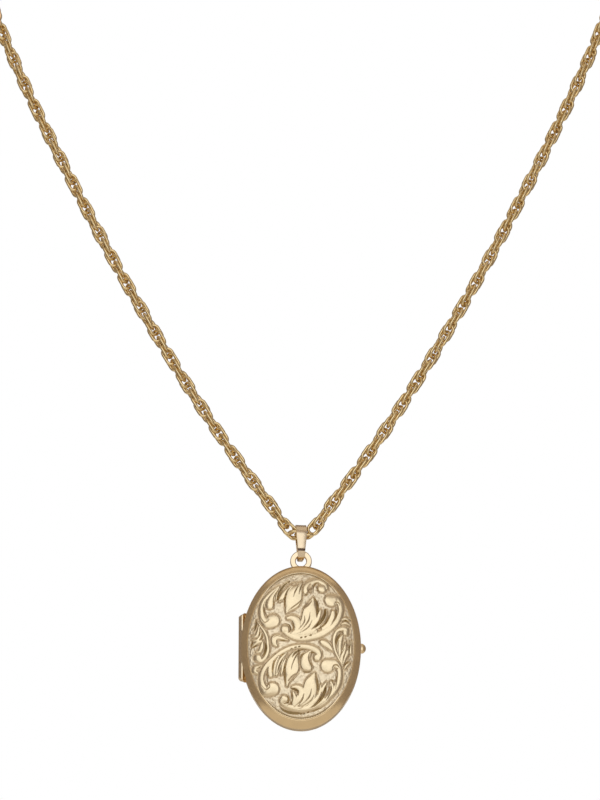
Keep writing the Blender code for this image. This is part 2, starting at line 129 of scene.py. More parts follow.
# Carving, drawn on a grid whose unit is about one width of a graver's line
CARVE_UNIT = 0.000185
STROKE_STEPS = 14
LEAST_HALF_WIDTH = 0.12
LEAF_RISE = 0.00004
LEAF_CROWN = 0.00011
LEAF_EDGE = 0.00014
LEAF_SPREAD = 0.45
LEAF_MARGIN = 4
CROWN_HALF_WIDTH = 4
CROWN_SHARES = (0.3, 1.2)
OUTLINE_WIDTH = 0.00038
OUTLINE_DEPTH = 0.00007
# Past this share the groove round a leaf takes darker gold as painted shade
OUTLINE_PAINTED_SHADE_SHARE = 0.75
CUT_DEPTH = 0.00015
CUT_SHARES = (0.5, 1.5)
CUT_MARGIN = 1
# Past this share of its full depth a cut takes dark gold as painted shade
RECESS_PAINTED_SHADE_SHARE = 0.42
SCOOP_DEPTH = 0.00007
# Past this share a scoop takes the groove's darker gold as painted shade
SCOOP_PAINTED_SHADE_SHARE = 0.25
FADE_SHARE = 0.04
STIPPLE_CELL = 0.00024
STIPPLE_DEPTH = 0.000034
STIPPLE_COUNT = 256
STIPPLE_SEED = 7

# Ticked line near the plateau's edge, at the top and bottom of the oval
EDGE_LINE_FROM = 0.65
EDGE_LINE_GROWTH = 4
EDGE_LINE_DEPTH = 0.00006
# Past this share the ticked line takes the groove's darker gold as painted shade
EDGE_LINE_PAINTED_SHADE_SHARE = 0.3
EDGE_TICKS = 190
EDGE_TICK_DEPTH = 0.00006
EDGE_TICK_PLACE = 0.980
EDGE_TICK_LENGTH = 0.014
EDGE_TICK_FULLNESS = 0.4
EDGE_TICK_WEIGHT = 0.45
# Past this share a tick takes the cuts' dark gold as painted shade
EDGE_RECESS_PAINTED_SHADE_SHARE = 0.38

# Finishes of the carved lid, in the order of its materials; the outline and recess finishes are painted
# shade
BORDER, LEAF, GROUND, OUTLINE_PAINTED_SHADE, RECESS_PAINTED_SHADE = range(5)

# Chain of long round-ended links, each through its two neighbours on either side
LINK_REACH = 0.00166
LINK_HALF_WIDTH = 0.00096
LINK_WIRE = 0.00029
LINK_PITCH = 0.00133
LINK_TURN = math.radians(42.4)
LINK_END_STEPS = 12
LINK_SIDE_STEPS = 3
LINK_SIDES = 8
ROUTE = [
    (0.0000, 0.0000), (0.0021, 0.0008), (0.0064, 0.0066), (0.0145, 0.0182), (0.0220, 0.0300),
    (0.0290, 0.0419), (0.0357, 0.0540), (0.0420, 0.0662), (0.0481, 0.0785), (0.0539, 0.0910),
    (0.0591, 0.1037), (0.0626, 0.1155), (0.0634, 0.1280), (0.0608, 0.1410), (0.0546, 0.1525),
    (0.0450, 0.1615), (0.0325, 0.1680), (0.0185, 0.1716), (0.0070, 0.1725),
]
ROUTE_STEPS = 16
ROUTE_PROBE = 0.0001
CHAIN_END_GAP = 0.0001

# Drift and marks of every gold
DRIFT_SHARE = 0.15
DRIFT_FROM = 0.3
DRIFT_TO = 0.7
SMOOTHEST_SHARE = 0.8
ROUGHEST_SHARE = 1.25
MARK_DEPTH = 0.00002

# Camera, below the locket and looking up at it
CAMERA_DISTANCE = 0.600
CAMERA_BELOW = math.radians(13.0)
CAMERA_PITCH = math.radians(17.35)
CAMERA_LENS = 146.85
CAMERA_SENSOR = 36.0
CAMERA_SIDE = -0.00018

# Places taken from the frame
front_low, front_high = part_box("front_cover")
HALF_WIDTH = (front_high.x - front_low.x) / 2
HALF_HEIGHT = (front_high.z - front_low.z) / 2
CASE_X = (front_high.x + front_low.x) / 2
CASE_Z = (front_high.z + front_low.z) / 2
FRONT_RIM_Y = front_high.y
BACK_RIM_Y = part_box("back_cover")[0].y
CASE_DEPTH = SIDE_WALL_DEPTH + SHOULDER_DEPTH
FRONT_CROWN = front_high.y - front_low.y - CASE_DEPTH
JOINTS = {joint["name"]: joint for joint in frame["joints"]}
HINGE = Vector(JOINTS["lid_hinge"]["pos_m"])
HINGE_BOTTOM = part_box("hinge_knuckle_lower")[0].z
HINGE_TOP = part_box("hinge_knuckle_upper")[1].z
pin_low, pin_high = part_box("hinge_pin")
PIN_RADIUS = (pin_high.y - pin_low.y) / 2
SEAT = Vector(JOINTS["bail_swing"]["pos_m"])


# Materials
def new_material(name):
    """A new material, its node tree and its shader."""
    material = bpy.data.materials.new(name)
    material.use_nodes = True
    tree = material.node_tree
    return material, tree, tree.nodes["Principled BSDF"]


def noise(tree, scale, detail=2.0):
    texture = tree.nodes.new("ShaderNodeTexNoise")
    texture.inputs["Scale"].default_value = scale
    texture.inputs["Detail"].default_value = detail
    return texture


def uneven_gloss(tree, shader, marks, smoothest, roughest):
    """Roughness that follows the marks on a surface."""
    gloss = tree.nodes.new("ShaderNodeMapRange")
    gloss.inputs["To Min"].default_value = smoothest
    gloss.inputs["To Max"].default_value = roughest
    tree.links.new(marks.outputs["Fac"], gloss.inputs["Value"])
    tree.links.new(gloss.outputs["Result"], shader.inputs["Roughness"])


def gold(name, colour, roughness, grain, bump, tarnish):
    """Gold whose tint and polish drift a little over the surface, with fine handling marks."""
    material, tree, shader = new_material(name)
    shader.inputs["Metallic"].default_value = 1.0
    place = tree.nodes.new("ShaderNodeTexCoord")
    drift = noise(tree, grain * DRIFT_SHARE, detail=3.0)
    tree.links.new(place.outputs["Object"], drift.inputs["Vector"])
    tint = tree.nodes.new("ShaderNodeValToRGB")
    tint.color_ramp.elements[0].position = DRIFT_FROM
    tint.color_ramp.elements[1].position = DRIFT_TO
    tint.color_ramp.elements[0].color = (*[c * tarnish for c in colour], 1)
    tint.color_ramp.elements[1].color = (*colour, 1)
    tree.links.new(drift.outputs["Fac"], tint.inputs["Fac"])
    tree.links.new(tint.outputs["Color"], shader.inputs["Base Color"])
    marks = noise(tree, grain, detail=4.0)
    tree.links.new(place.outputs["Object"], marks.inputs["Vector"])
    uneven_gloss(tree, shader, marks, roughness * SMOOTHEST_SHARE, roughness * ROUGHEST_SHARE)
    dents = tree.nodes.new("ShaderNodeBump")
    dents.inputs["Strength"].default_value = bump
    dents.inputs["Distance"].default_value = MARK_DEPTH
    tree.links.new(marks.outputs["Fac"], dents.inputs["Height"])
    tree.links.new(dents.outputs["Normal"], shader.inputs["Normal"])
    return material


def clear_sheet(name):
    """Clear acetate with a faint unevenness in its gloss."""
    material, tree, shader = new_material(name)
    shader.inputs["Base Color"].default_value = (0.95, 0.96, 0.95, 1)
    shader.inputs["Transmission Weight"].default_value = 1.0
    shader.inputs["IOR"].default_value = 1.47
    uneven_gloss(tree, shader, noise(tree, scale=900.0), smoothest=0.03, roughest=0.10)
    return material


def drawn_steel(name):
    """Spring wire with drawing marks."""
    material, tree, shader = new_material(name)
    shader.inputs["Base Color"].default_value = (0.56, 0.55, 0.53, 1)
    shader.inputs["Metallic"].default_value = 1.0
    uneven_gloss(tree, shader, noise(tree, scale=6000.0), smoothest=0.2, roughest=0.4)
    return material


polished = gold("polished_gold", (0.90, 0.74, 0.51), roughness=0.15, grain=3000, bump=0.015, tarnish=0.95)
bail_polish = gold("bail_gold", (0.91, 0.75, 0.53), roughness=0.22, grain=3000, bump=0.015, tarnish=0.95)
satin = gold("satin_gold", (0.95, 0.74, 0.44), roughness=0.20, grain=3500, bump=0.05, tarnish=0.95)
leaf_cut = gold("bright_cut_gold", (0.92, 0.77, 0.52), roughness=0.22, grain=5000, bump=0.05, tarnish=0.93)
matted = gold("matted_gold", (0.97, 0.83, 0.60), roughness=0.30, grain=7000, bump=0.5, tarnish=0.86)
# Outline gold is darker as painted shade in the grooves round the leaves, in scoops and on the ticked line
painted_outline_shade = gold("painted_outline_shade_gold", (0.74, 0.58, 0.37), roughness=0.34, grain=6000, bump=0.3, tarnish=0.90)
# Recess gold is dark as painted shade in the deep cuts and ticks
painted_recess_shade = gold("painted_recess_shade_gold", (0.48, 0.35, 0.17), roughness=0.32, grain=5000, bump=0.2, tarnish=0.80)
# Crease gold is dark as painted shade on the bail's creases
painted_crease_shade = gold("painted_crease_shade_gold", (0.20, 0.14, 0.11), roughness=0.35, grain=5000, bump=0.2, tarnish=0.80)
chain_polish = gold("chain_gold", (0.96, 0.76, 0.42), roughness=0.07, grain=4000, bump=0.08, tarnish=0.90)
acetate = clear_sheet("acetate")
steel = drawn_steel("spring_steel")


# Placing and edges
def shown(name, mesh, body, node):
    """A piece of the scene in a node's place, riding on its body."""
    mesh.shade_smooth()
    piece = bpy.data.objects.new(name, mesh)
    bpy.context.scene.collection.objects.link(piece)
    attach(piece, body)
    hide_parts(node)
    return piece


def ease_edges(piece, width):
    """Softly rounded edges between flat faces."""
    ease = piece.modifiers.new("ease", 'BEVEL')
    ease.width = width
    ease.segments = EASE_SEGMENTS
    ease.limit_method = 'ANGLE'
    ease.angle_limit = EASE_ANGLE
    piece.modifiers.new("flat_faces", 'WEIGHTED_NORMAL')


def smooth(knots, steps):
    """Points close together on a smooth curve from the second knot to the last but one."""
    fine = []
    for a, b, c, d in zip(knots, knots[1:], knots[2:], knots[3:]):
        for t in np.linspace(0, 1, steps, endpoint=False):
            fine.append(0.5 * (2 * b + (c - a) * t + (2 * a - 5 * b + 4 * c - d) * t ** 2
                               + (3 * b - a - 3 * c + d) * t ** 3))
    fine.append(knots[-2])
    return np.array(fine)


# Carving strokes: points of (across, up, half width) in carving units from the plateau's middle
UPPER_LEFT_LEAVES = [
    [(-27.8, 24.6, 6.4), (-33.2, 21.6, 4.2), (-37.6, 26.6, 3.0), (-39.4, 33, 2.4), (-39.2, 39, 2.2),
     (-37.2, 44.8, 2.0), (-33.5, 49.6, 1.8), (-28.5, 54.6, 1.4), (-22.5, 59.4, 0.8)],
    [(-21.7, 59.8, 0.6), (-26, 53.8, 1.8), (-29.6, 47.8, 3.0), (-31.2, 42.6, 3.7), (-31.1, 39.8, 3.3)],
    [(-13, 64, 0.5), (-19, 58, 1.2), (-23, 52, 1.3), (-24.8, 46, 0.6)],
    [(-6, 62.8, 0.8), (-11.5, 57.8, 2.0), (-16.5, 52.2, 2.4), (-19.6, 47.2, 2.0), (-21.4, 44.4, 0.8)],
    [(0, 63.4, 1.0), (-3.5, 57.8, 4.6), (-6.4, 51.8, 7.2), (-7.8, 45.3, 7.6), (-10.6, 39.8, 4.9),
     (-13, 35.8, 2.4), (-14.2, 32.4, 0.5)],
    [(4, 52.6, 1.2), (4.8, 56, 2.6), (7, 60.5, 3.6), (10.5, 64, 3.2), (15, 65.8, 2.2), (20, 65, 2.4),
     (24, 62, 2.4), (25.2, 58.4, 1.8)],
    [(21, 57.8, 4.1), (21.4, 57.8, 4.1)],
]
UPPER_LEFT_CUTS = [
    [(-17, 62, 0.3), (-22.5, 55.5, 0.6), (-26, 50, 0.7), (-27.2, 45, 0.7), (-26.8, 40.5, 0.5)],
    [(-9, 66, 0.4), (-14, 63.2, 1.1), (-18.6, 58, 1.5), (-21.8, 52, 1.5), (-23.4, 46, 0.9)],
    [(-9, 60.5, 0.3), (-13, 55.5, 0.8), (-15.6, 49, 0.9), (-16, 42, 0.8), (-15.6, 36.8, 0.3)],
    [(2, 66, 0.2), (-2.5, 60.5, 0.6), (-5.8, 54, 0.7), (-7.4, 49, 0.2)],
    [(3.6, 64.5, 0.2), (0, 58.5, 0.8), (-1.8, 52, 0.4)],
    [(1.4, 50, 0.3), (0.4, 45.4, 0.6), (-3.5, 41.6, 0.7), (-8.5, 37.8, 0.7), (-12.6, 34.2, 0.3)],
    [(-22.8, 43.6, 0.3), (-20.6, 44.8, 0.7), (-19.2, 46.2, 0.3)],
    [(-34.4, 46.5, 0.3), (-37, 40, 0.6), (-36.4, 34, 0.7), (-33.4, 28.6, 0.6)],
    [(-40, 26.6, 0.3), (-36, 22.6, 0.6), (-32, 25.8, 0.5)],
    [(3, 52, 0.3), (5.6, 50.9, 0.8), (7.4, 51.2, 0.3)],
    [(12.2, 53.6, 0.5), (12.3, 58.6, 0.7), (14.2, 62.4, 0.7), (17.5, 64, 0.5)],
    [(18.5, 52.8, 0.4), (16.4, 57, 0.6), (17.6, 61, 0.4)],
]
UPPER_RIGHT_LEAVES = [
    [(30, 45.6, 6.2), (35.5, 47, 3.6), (38.8, 43, 3.0), (40, 37, 2.6), (39, 31, 2.6), (36, 25, 2.9),
     (31, 19.4, 3.2), (25, 14.6, 3.3), (18, 10.6, 3.2), (10, 8.2, 3.0), (2, 7, 3.1), (-5.5, 8, 3.0),
     (-12, 11, 2.6), (-17, 15, 2.2), (-15.8, 15.8, 4.0)],
    [(1, 12, 4.0), (5.5, 19.4, 6.6), (8, 27.4, 7.2), (8.6, 33.4, 6.4), (10, 40, 4.0), (11.9, 47.6, 0.6)],
    [(-13.4, 27, 1.2), (-9.5, 27.6, 2.4), (-5.4, 25.6, 3.6), (-3.2, 21, 3.9), (-3.4, 15, 3.4)],
    [(-8, 11.5, 2.6), (-2, 13, 4), (5, 13.4, 4), (13, 15, 3.4)],
    [(19.2, 35, 0.6), (17.4, 29, 1.8), (13.6, 22, 2.4), (9, 16, 2.0)],
    [(24.8, 34.5, 0.6), (25, 29, 1.2), (22, 22.5, 1.4), (16, 17, 1.2)],
    [(32, 33.2, 2.0), (31.4, 28, 2.9), (28, 22, 2.6), (22, 16.6, 2.0)],
]
UPPER_RIGHT_CUTS = [
    [(12.6, 48, 0.5), (15.6, 43, 1.4), (16.4, 36, 1.4), (15.6, 28, 0.4)],
    [(24.2, 36, 0.8), (23.2, 30, 1.9), (18.6, 22.6, 1.9), (10.6, 15.8, 0.4)],
    [(28.2, 34, 0.3), (27, 27, 0.8), (22.4, 20, 1.0), (13, 13.6, 0.3)],
    [(34, 40.5, 0.4), (34.8, 34, 0.9), (34, 27.5, 0.9), (29.6, 20, 0.3)],
    [(29.6, 35.8, 0.3), (32.4, 35, 0.5), (34.2, 34.4, 0.3)],
    [(33.8, 41.4, 0.4), (35, 43.6, 0.6), (37.4, 43, 0.6), (38.4, 40.5, 0.3)],
    [(3.4, 29, 0.2), (3.3, 23.5, 0.7), (-2, 16, 0.3)],
    [(9, 32.6, 0.2), (7.2, 24, 0.8), (0, 14.8, 0.3)],
    [(11.2, 25, 0.2), (6.8, 17.2, 0.7), (-3.5, 11, 0.3)],
    [(-16, 21.4, 0.5), (-11.6, 19.6, 0.8), (-10.2, 15.4, 0.8), (-12.4, 12.6, 0.5)],
    [(-13, 25, 0.4), (-8.1, 20.6, 0.7), (-7.3, 16, 0.6), (-10.2, 11.6, 0.3)],
]
LOWER_LEFT_LEAVES = [
    [(-28.1, -44.3, 6.2), (-34.5, -47.2, 4.0), (-37.6, -42.5, 3.2), (-39.2, -36, 2.4), (-38.8, -30, 2.2),
     (-36.4, -24.4, 2.1), (-32.4, -19, 2.0), (-26.4, -13, 1.9), (-19.4, -7.4, 1.8), (-11.6, -3.4, 1.9),
     (-3.6, -1.6, 2.1), (4, -1.5, 2.3), (10.5, -3, 2.6), (15.8, -6, 2.7), (18, -10, 2.2), (16, -12.8, 3.3)],
    [(-27.6, -15, 0.6), (-30, -21, 1.8), (-30.6, -27, 2.5), (-30, -30.6, 2.1)],
    [(-21.5, -11.5, 0.5), (-25, -18, 1.2), (-26.4, -25, 1.2), (-26.4, -30.5, 0.6)],
    [(-14.5, -8, 0.7), (-19.5, -15, 1.8), (-22.2, -22, 2.0), (-23.4, -27.5, 1.4), (-24.4, -31, 0.5)],
    [(-15, -14, 0.5), (-17.6, -20, 1.2), (-18.6, -26, 1.0), (-19.6, -30, 0.4)],
    [(-3.5, -5.5, 0.8), (-6.6, -11, 3.6), (-8.2, -17, 5.6), (-8.8, -23.5, 6.4), (-10.8, -30, 4.2),
     (-12.8, -35.5, 2.2), (-14, -41.5, 0.5)],
    [(9, -7, 1.2), (5.4, -11, 3.2), (4.2, -16.5, 4.5), (5, -21, 4.7), (7, -22.8, 3.6)],
]
LOWER_LEFT_CUTS = [
    [(5.5, -4.6, 0.3), (-0.5, -5.2, 1.0), (-5.5, -8, 1.2), (-8.6, -12.4, 0.4)],
    [(1.8, -6.8, 0.2), (-2.6, -9, 0.8), (-5.6, -13, 0.7), (-8.6, -20, 0.5), (-9.6, -25, 0.2)],
    [(6.5, -7, 0.2), (1.5, -9.6, 0.8), (-1.2, -13.5, 0.7), (-2.2, -18, 0.4)],
    [(-14, -16.5, 0.3), (-16.2, -24, 1.0), (-16.2, -32, 1.1), (-14.8, -40.5, 0.3)],
    [(-15, -10.4, 0.3), (-18.6, -15.6, 0.8), (-21.2, -21.4, 1.0), (-23.2, -28, 0.4)],
    [(-22, -10.6, 0.3), (-26.2, -17, 0.7), (-27.8, -24, 0.8), (-28, -30.5, 0.3)],
    [(-20.5, -10.8, 0.3), (-18, -9.6, 0.7), (-15.4, -8.6, 0.3)],
    [(-33, -22, 0.2), (-33.2, -29, 0.6), (-33.4, -35, 0.7), (-31.8, -40, 0.5)],
    [(-38.6, -41.5, 0.3), (-34.6, -44.6, 0.6), (-31.4, -42.6, 0.6), (-31.2, -39.8, 0.3)],
    [(-1.3, -28.4, 0.3), (-7.4, -34.6, 0.6), (-13.4, -41.6, 0.3)],
    [(0.6, -25.8, 0.3), (4.2, -27.6, 0.9), (8.6, -27, 0.6), (12, -24.2, 0.2)],
    [(9, -8, 0.5), (7.6, -13, 0.7), (9.4, -18.5, 0.7), (12.6, -22.6, 0.3)],
    [(8.6, -8.2, 0.4), (11.4, -7.6, 0.8), (14.6, -8.8, 0.3)],
    [(13.4, -10.2, 0.4), (12.2, -13.4, 0.6), (13.8, -16.6, 0.5), (17, -17.2, 0.3)],
]
LOWER_RIGHT_LEAVES = [
    [(26, -21.2, 6.4), (32.5, -18.4, 3.6), (36.6, -21.6, 2.8), (38.4, -27.5, 2.3), (38, -34, 2.4),
     (36, -41, 2.6), (31.6, -47.6, 2.6), (26.4, -52.8, 2.6), (20, -57.6, 2.6), (12.9, -61.6, 2.6),
     (6, -63.8, 2.6), (-1, -64.4, 2.6), (-8, -63.3, 2.6), (-14, -60.8, 2.4), (-18.6, -56.8, 2.2),
     (-16.6, -54.4, 3.7)],
    [(13.2, -28.6, 0.6), (11, -34, 3.4), (9.4, -39, 5.6), (8.8, -45, 6.6), (7, -52, 6.4), (2, -58.6, 4.2)],
    [(-8.6, -42.4, 0.8), (-4.4, -42.2, 1.8), (-0.4, -44.4, 2.8), (0.6, -49, 3.2), (-2.4, -55, 3.6),
     (-6, -60, 3)],
    [(-7.6, -47.6, 0.8), (-6.6, -52, 1.8), (-7.4, -57, 2.0)],
    [(19.4, -40.4, 0.5), (19.2, -45, 1.2), (17.4, -50.6, 1.6), (13, -57, 1.8), (8, -61, 1.2)],
    [(25.2, -37.8, 0.4), (23, -41.4, 1.4), (20.6, -46, 1.6)],
    [(29.6, -37.6, 1.2), (31, -43, 2.2), (29, -50, 2.2), (24, -56.6, 2.0), (17.6, -61.4, 1.4)],
]
LOWER_RIGHT_CUTS = [
    [(14.2, -29.6, 0.4), (16.2, -36.6, 1.0), (16.6, -44, 0.9), (16.6, -50, 0.3)],
    [(16.6, -30, 0.3), (18.6, -35.6, 0.5), (19.4, -40, 0.4)],
    [(24.4, -41.4, 0.6), (23.4, -46.6, 1.6), (19.6, -54, 1.7), (13.4, -60.4, 1.2), (9, -63, 0.4)],
    [(29, -39, 0.4), (29.6, -45, 0.8), (27, -52, 0.7), (25, -55.6, 0.3)],
    [(29.6, -34.8, 0.4), (31, -35.8, 0.8), (32.2, -36.8, 0.3)],
    [(33.4, -26.6, 0.4), (35, -33, 0.7), (34.6, -39, 0.6), (34.2, -44, 0.2)],
    [(31.2, -24, 0.5), (32.6, -20.6, 0.7), (36, -20.4, 0.8), (38, -23, 0.4)],
    [(34, -23.6, 0.4), (35.8, -24, 0.7)],
    [(2.8, -49.5, 0.3), (0.4, -56, 0.8), (-7.4, -63, 0.3)],
    [(10.4, -44.6, 0.3), (7.8, -52.8, 0.8), (-0.4, -61, 0.3)],
    [(12.8, -50.6, 0.3), (9.4, -56.4, 0.7), (0.8, -62.6, 0.5), (-3.4, -64.8, 0.2)],
    [(-9.6, -43.6, 0.5), (-6.2, -44.8, 1.4), (-3.6, -46.2, 1.0), (-2.4, -50.5, 0.3)],
    [(-10.4, -45.6, 0.5), (-8.4, -52, 0.8), (-9.6, -58, 0.8), (-13.6, -60.6, 0.4)],
    [(-17.4, -50.4, 0.5), (-12.8, -52.4, 0.7), (-12.4, -56.6, 0.8), (-16, -58.8, 0.7), (-18, -57.6, 0.3)],
    [(-21.6, -60.4, 0.4), (-18.4, -64.2, 1.1), (-13.4, -67, 1.6), (-7.4, -68.2, 1.6), (-2.4, -68.4, 1.1),
     (3, -68, 0.4)],
    [(8.6, -66.8, 0.3), (13, -65.6, 0.9), (18, -63.6, 0.7), (23, -60.6, 0.3)],
]
SIDE_LEAVES = [
    [(-43.6, 25, 0.4), (-40.4, 19.6, 0.8), (-36.2, 13.6, 1.1), (-33.6, 7.4, 1.2), (-32.8, 0.4, 1.3),
     (-32.8, -6.4, 1.4), (-35.2, -12.4, 1.5), (-39.4, -16, 1.6), (-42.8, -13, 3.5)],
    [(-41.6, 18.4, 0.6), (-42.6, 12.6, 1.6), (-44.8, 9, 1.4), (-48.6, 9, 0.5)],
    [(-39.6, 12, 1.0), (-42.4, 5.6, 1.6), (-46, 4.6, 1.0), (-48.6, 5.4, 0.4)],
    [(-39, 4, 0.8), (-42.6, 2.6, 1.8), (-46.4, 0.6, 1.2), (-48.4, -1, 0.4)],
    [(-38, 2.4, 0.8), (-39, -2.6, 1.8), (-41, -6.6, 1.2), (-44.4, -7, 0.4)],
    [(-38.6, -20.4, 0.5), (-42, -22.4, 1.6), (-45.6, -23.6, 2.2), (-46, -26.4, 1.8), (-42.8, -28.2, 0.8)],
    [(-13, 5, 0.4), (-18, 6.4, 1.2), (-23, 8, 2.4), (-26.4, 6.2, 2.8), (-26.4, 2, 2.2), (-24, -1, 0.8)],
    [(20.6, 3, 1.8), (23.4, 1.6, 2.8), (27.4, -1.4, 2.2), (31, -5.4, 0.6)],
    [(44.4, 12.6, 2.8), (45, 15.6, 2.0), (41.4, 16.6, 1.8), (36.8, 14.6, 1.6), (33.6, 10, 1.4),
     (32.4, 4.4, 1.3), (32.8, -1.6, 1.2), (34.4, -7.4, 1.1), (37, -12.8, 1.0), (40, -18, 0.8),
     (41.2, -21.6, 0.4)],
    [(41, 9.6, 0.6), (39, 5, 2.2), (38, -1, 2.4), (38.6, -8, 1.8), (40.4, -15.6, 0.8)],
    [(44.6, 1.6, 0.6), (43.4, -4, 1.8), (41.6, -10, 1.8), (40.8, -17, 0.8)],
    [(48.6, -2, 0.6), (46.6, -7.4, 1.8), (44, -12, 1.6), (41.6, -18.6, 0.7)],
    [(49.6, 4, 0.5), (49.4, -2, 1.2), (49.6, -8, 0.8)],
    [(43, -24, 0.5), (45, -20.6, 1.2), (48, -18.4, 0.8)],
    [(41, 26, 0.6), (44.6, 27, 1.2), (48.4, 25.2, 0.7)],
    [(40.5, 21.4, 0.5), (44.6, 22.6, 1.2), (48.4, 20.6, 0.6)],
]
SIDE_CUTS = [
    [(-44.8, 26, 0.3), (-44.6, 20.6, 1.2), (-46, 15.4, 0.9), (-49, 13.4, 0.2)],
    [(-41, 17, 0.3), (-41, 10.6, 0.8), (-43.4, 7, 0.3)],
    [(-38.6, 13.4, 0.3), (-38.4, 8, 0.8), (-41, 5.2, 0.3)],
    [(-36.4, 3.6, 0.4), (-34.8, -1, 1.3), (-35.4, -6.4, 1.4), (-37.8, -11, 0.7)],
    [(-49.6, -3.2, 0.4), (-45.6, -1.2, 0.8), (-41.4, 2.2, 0.3)],
    [(-48, 5, 0.4), (-48.6, 1, 0.9), (-49.4, -2.4, 0.4)],
    [(-38.4, -20.6, 0.3), (-41, -22.8, 0.9), (-43.6, -24.2, 0.4)],
    [(-21.4, 4.8, 0.3), (-18, 4.4, 0.9), (-14.6, 4.6, 0.3)],
    [(-27, 7.6, 0.3), (-23.8, 9.6, 0.6), (-20.4, 8.4, 0.4)],
    [(21.6, -3.2, 0.3), (26, -5.8, 0.6), (31, -8, 0.3)],
    [(39.6, 12, 0.5), (36.8, 8.6, 1.3), (34.9, 3.4, 1.2), (35, 0, 0.3)],
    [(35.6, 11.8, 0.4), (38.6, 13.8, 0.6), (42, 12, 0.5)],
    [(43, -3.4, 0.2), (40, -8, 0.7), (38.4, -13, 0.3)],
    [(44.6, -7.6, 0.2), (42.4, -11.6, 0.7), (41.2, -17.6, 0.3)],
    [(37.4, 4.6, 0.3), (36.2, -1.4, 0.7), (36.6, -7.6, 0.3)],
    [(49.6, 3.6, 0.5), (47.6, -2.8, 1.0), (47.8, -9, 0.6), (46.4, -13, 0.2)],
    [(42.4, -22.6, 0.3), (44, -18.6, 0.9), (46.4, -16.6, 0.7), (48.6, -15.2, 0.3)],
    [(41, 23.4, 0.3), (44.2, 25, 0.9), (47.6, 23.4, 0.4)],
    [(42.5, 28.2, 0.3), (46, 28.6, 0.5), (49, 26, 0.3)],
]
SCOOPS = [
    [(9.4, 62, 0.8), (8.4, 58, 2.7), (9, 55, 2.5), (10, 52.8, 0.8)],
    [(2.2, 37, 0.8), (6, 40.4, 1.7), (10, 44.4, 0.9)],
    [(-4.5, -29, 0.6), (-8.5, -32.4, 1.4), (-12, -36, 0.8)],
    [(44, 7, 0.8), (46.4, 3, 1.4), (44.8, -1, 0.8)],
    [(-43, 21, 0.4), (-47, 18, 1.4), (-49, 16, 0.6)],
    [(28.4, -43, 0.6), (26.6, -48, 1.2), (23.6, -53, 0.6)],
    [(26.4, 32, 0.5), (24.6, 25, 1.1), (19, 18.6, 0.5)],
    [(-12, 63, 0.5), (-7, 61, 1.6), (-3, 62, 0.8)],
]
NICKS = [(0, 7.1), (4.2, 7.9), (9.2, 9.5), (-9.6, -4.4), (-5.7, -2.8), (-2, -2),
         (-0.3, -69.2), (2.3, -68.8), (6.6, -67.4)]
NICK_SIZE = 0.9
NICK_SLANT = (0.6, 0.4)
LEAVES = UPPER_LEFT_LEAVES + UPPER_RIGHT_LEAVES + LOWER_LEFT_LEAVES + LOWER_RIGHT_LEAVES + SIDE_LEAVES
CUTS = UPPER_LEFT_CUTS + UPPER_RIGHT_CUTS + LOWER_LEFT_CUTS + LOWER_RIGHT_CUTS + SIDE_CUTS
CUTS += [[(x, z, NICK_SIZE), (x + NICK_SLANT[0], z + NICK_SLANT[1], NICK_SIZE)] for x, z in NICKS]


def soft(share):
    """A share from 0 to 1 with a slow start and end."""
    return share * share * (3 - 2 * share)


def nearest(points, stroke, margin):
    """Points close to a stroke: indices, distance outside its edge, share of its half width, half width."""
    discs = smooth(np.array([stroke[0], *stroke, stroke[-1]], float), STROKE_STEPS)
    discs[:, 2] = np.maximum(discs[:, 2], LEAST_HALF_WIDTH)
    low = (discs[:, :2] - discs[:, 2:]).min(0) - margin
    high = (discs[:, :2] + discs[:, 2:]).max(0) + margin
    close = np.where(((points > low) & (points < high)).all(1))[0]
    outside = np.full(len(close), np.inf)
    share = np.ones(len(close))
    width = np.ones(len(close))
    for x, z, w in discs:
        distance = np.hypot(points[close, 0] - x, points[close, 1] - z)
        better = distance - w < outside
        outside[better] = (distance - w)[better]
        share[better] = (distance / w)[better]
        width[better] = w
    return close, outside, share, width


def stipple(places):
    """Punched matting: an even scatter of small pits."""
    count = STIPPLE_COUNT
    heights = np.random.default_rng(STIPPLE_SEED).random((count, count))
    cells = places / STIPPLE_CELL
    whole = np.floor(cells).astype(int)
    part = soft(cells - whole)
    column = whole[:, 0] % count
    row = whole[:, 1] % count
    low = heights[row, column] * (1 - part[:, 0]) + heights[row, (column + 1) % count] * part[:, 0]
    row = (row + 1) % count
    high = heights[row, column] * (1 - part[:, 0]) + heights[row, (column + 1) % count] * part[:, 0]
    return (low * (1 - part[:, 1]) + high * part[:, 1] - 0.5) * 2 * STIPPLE_DEPTH


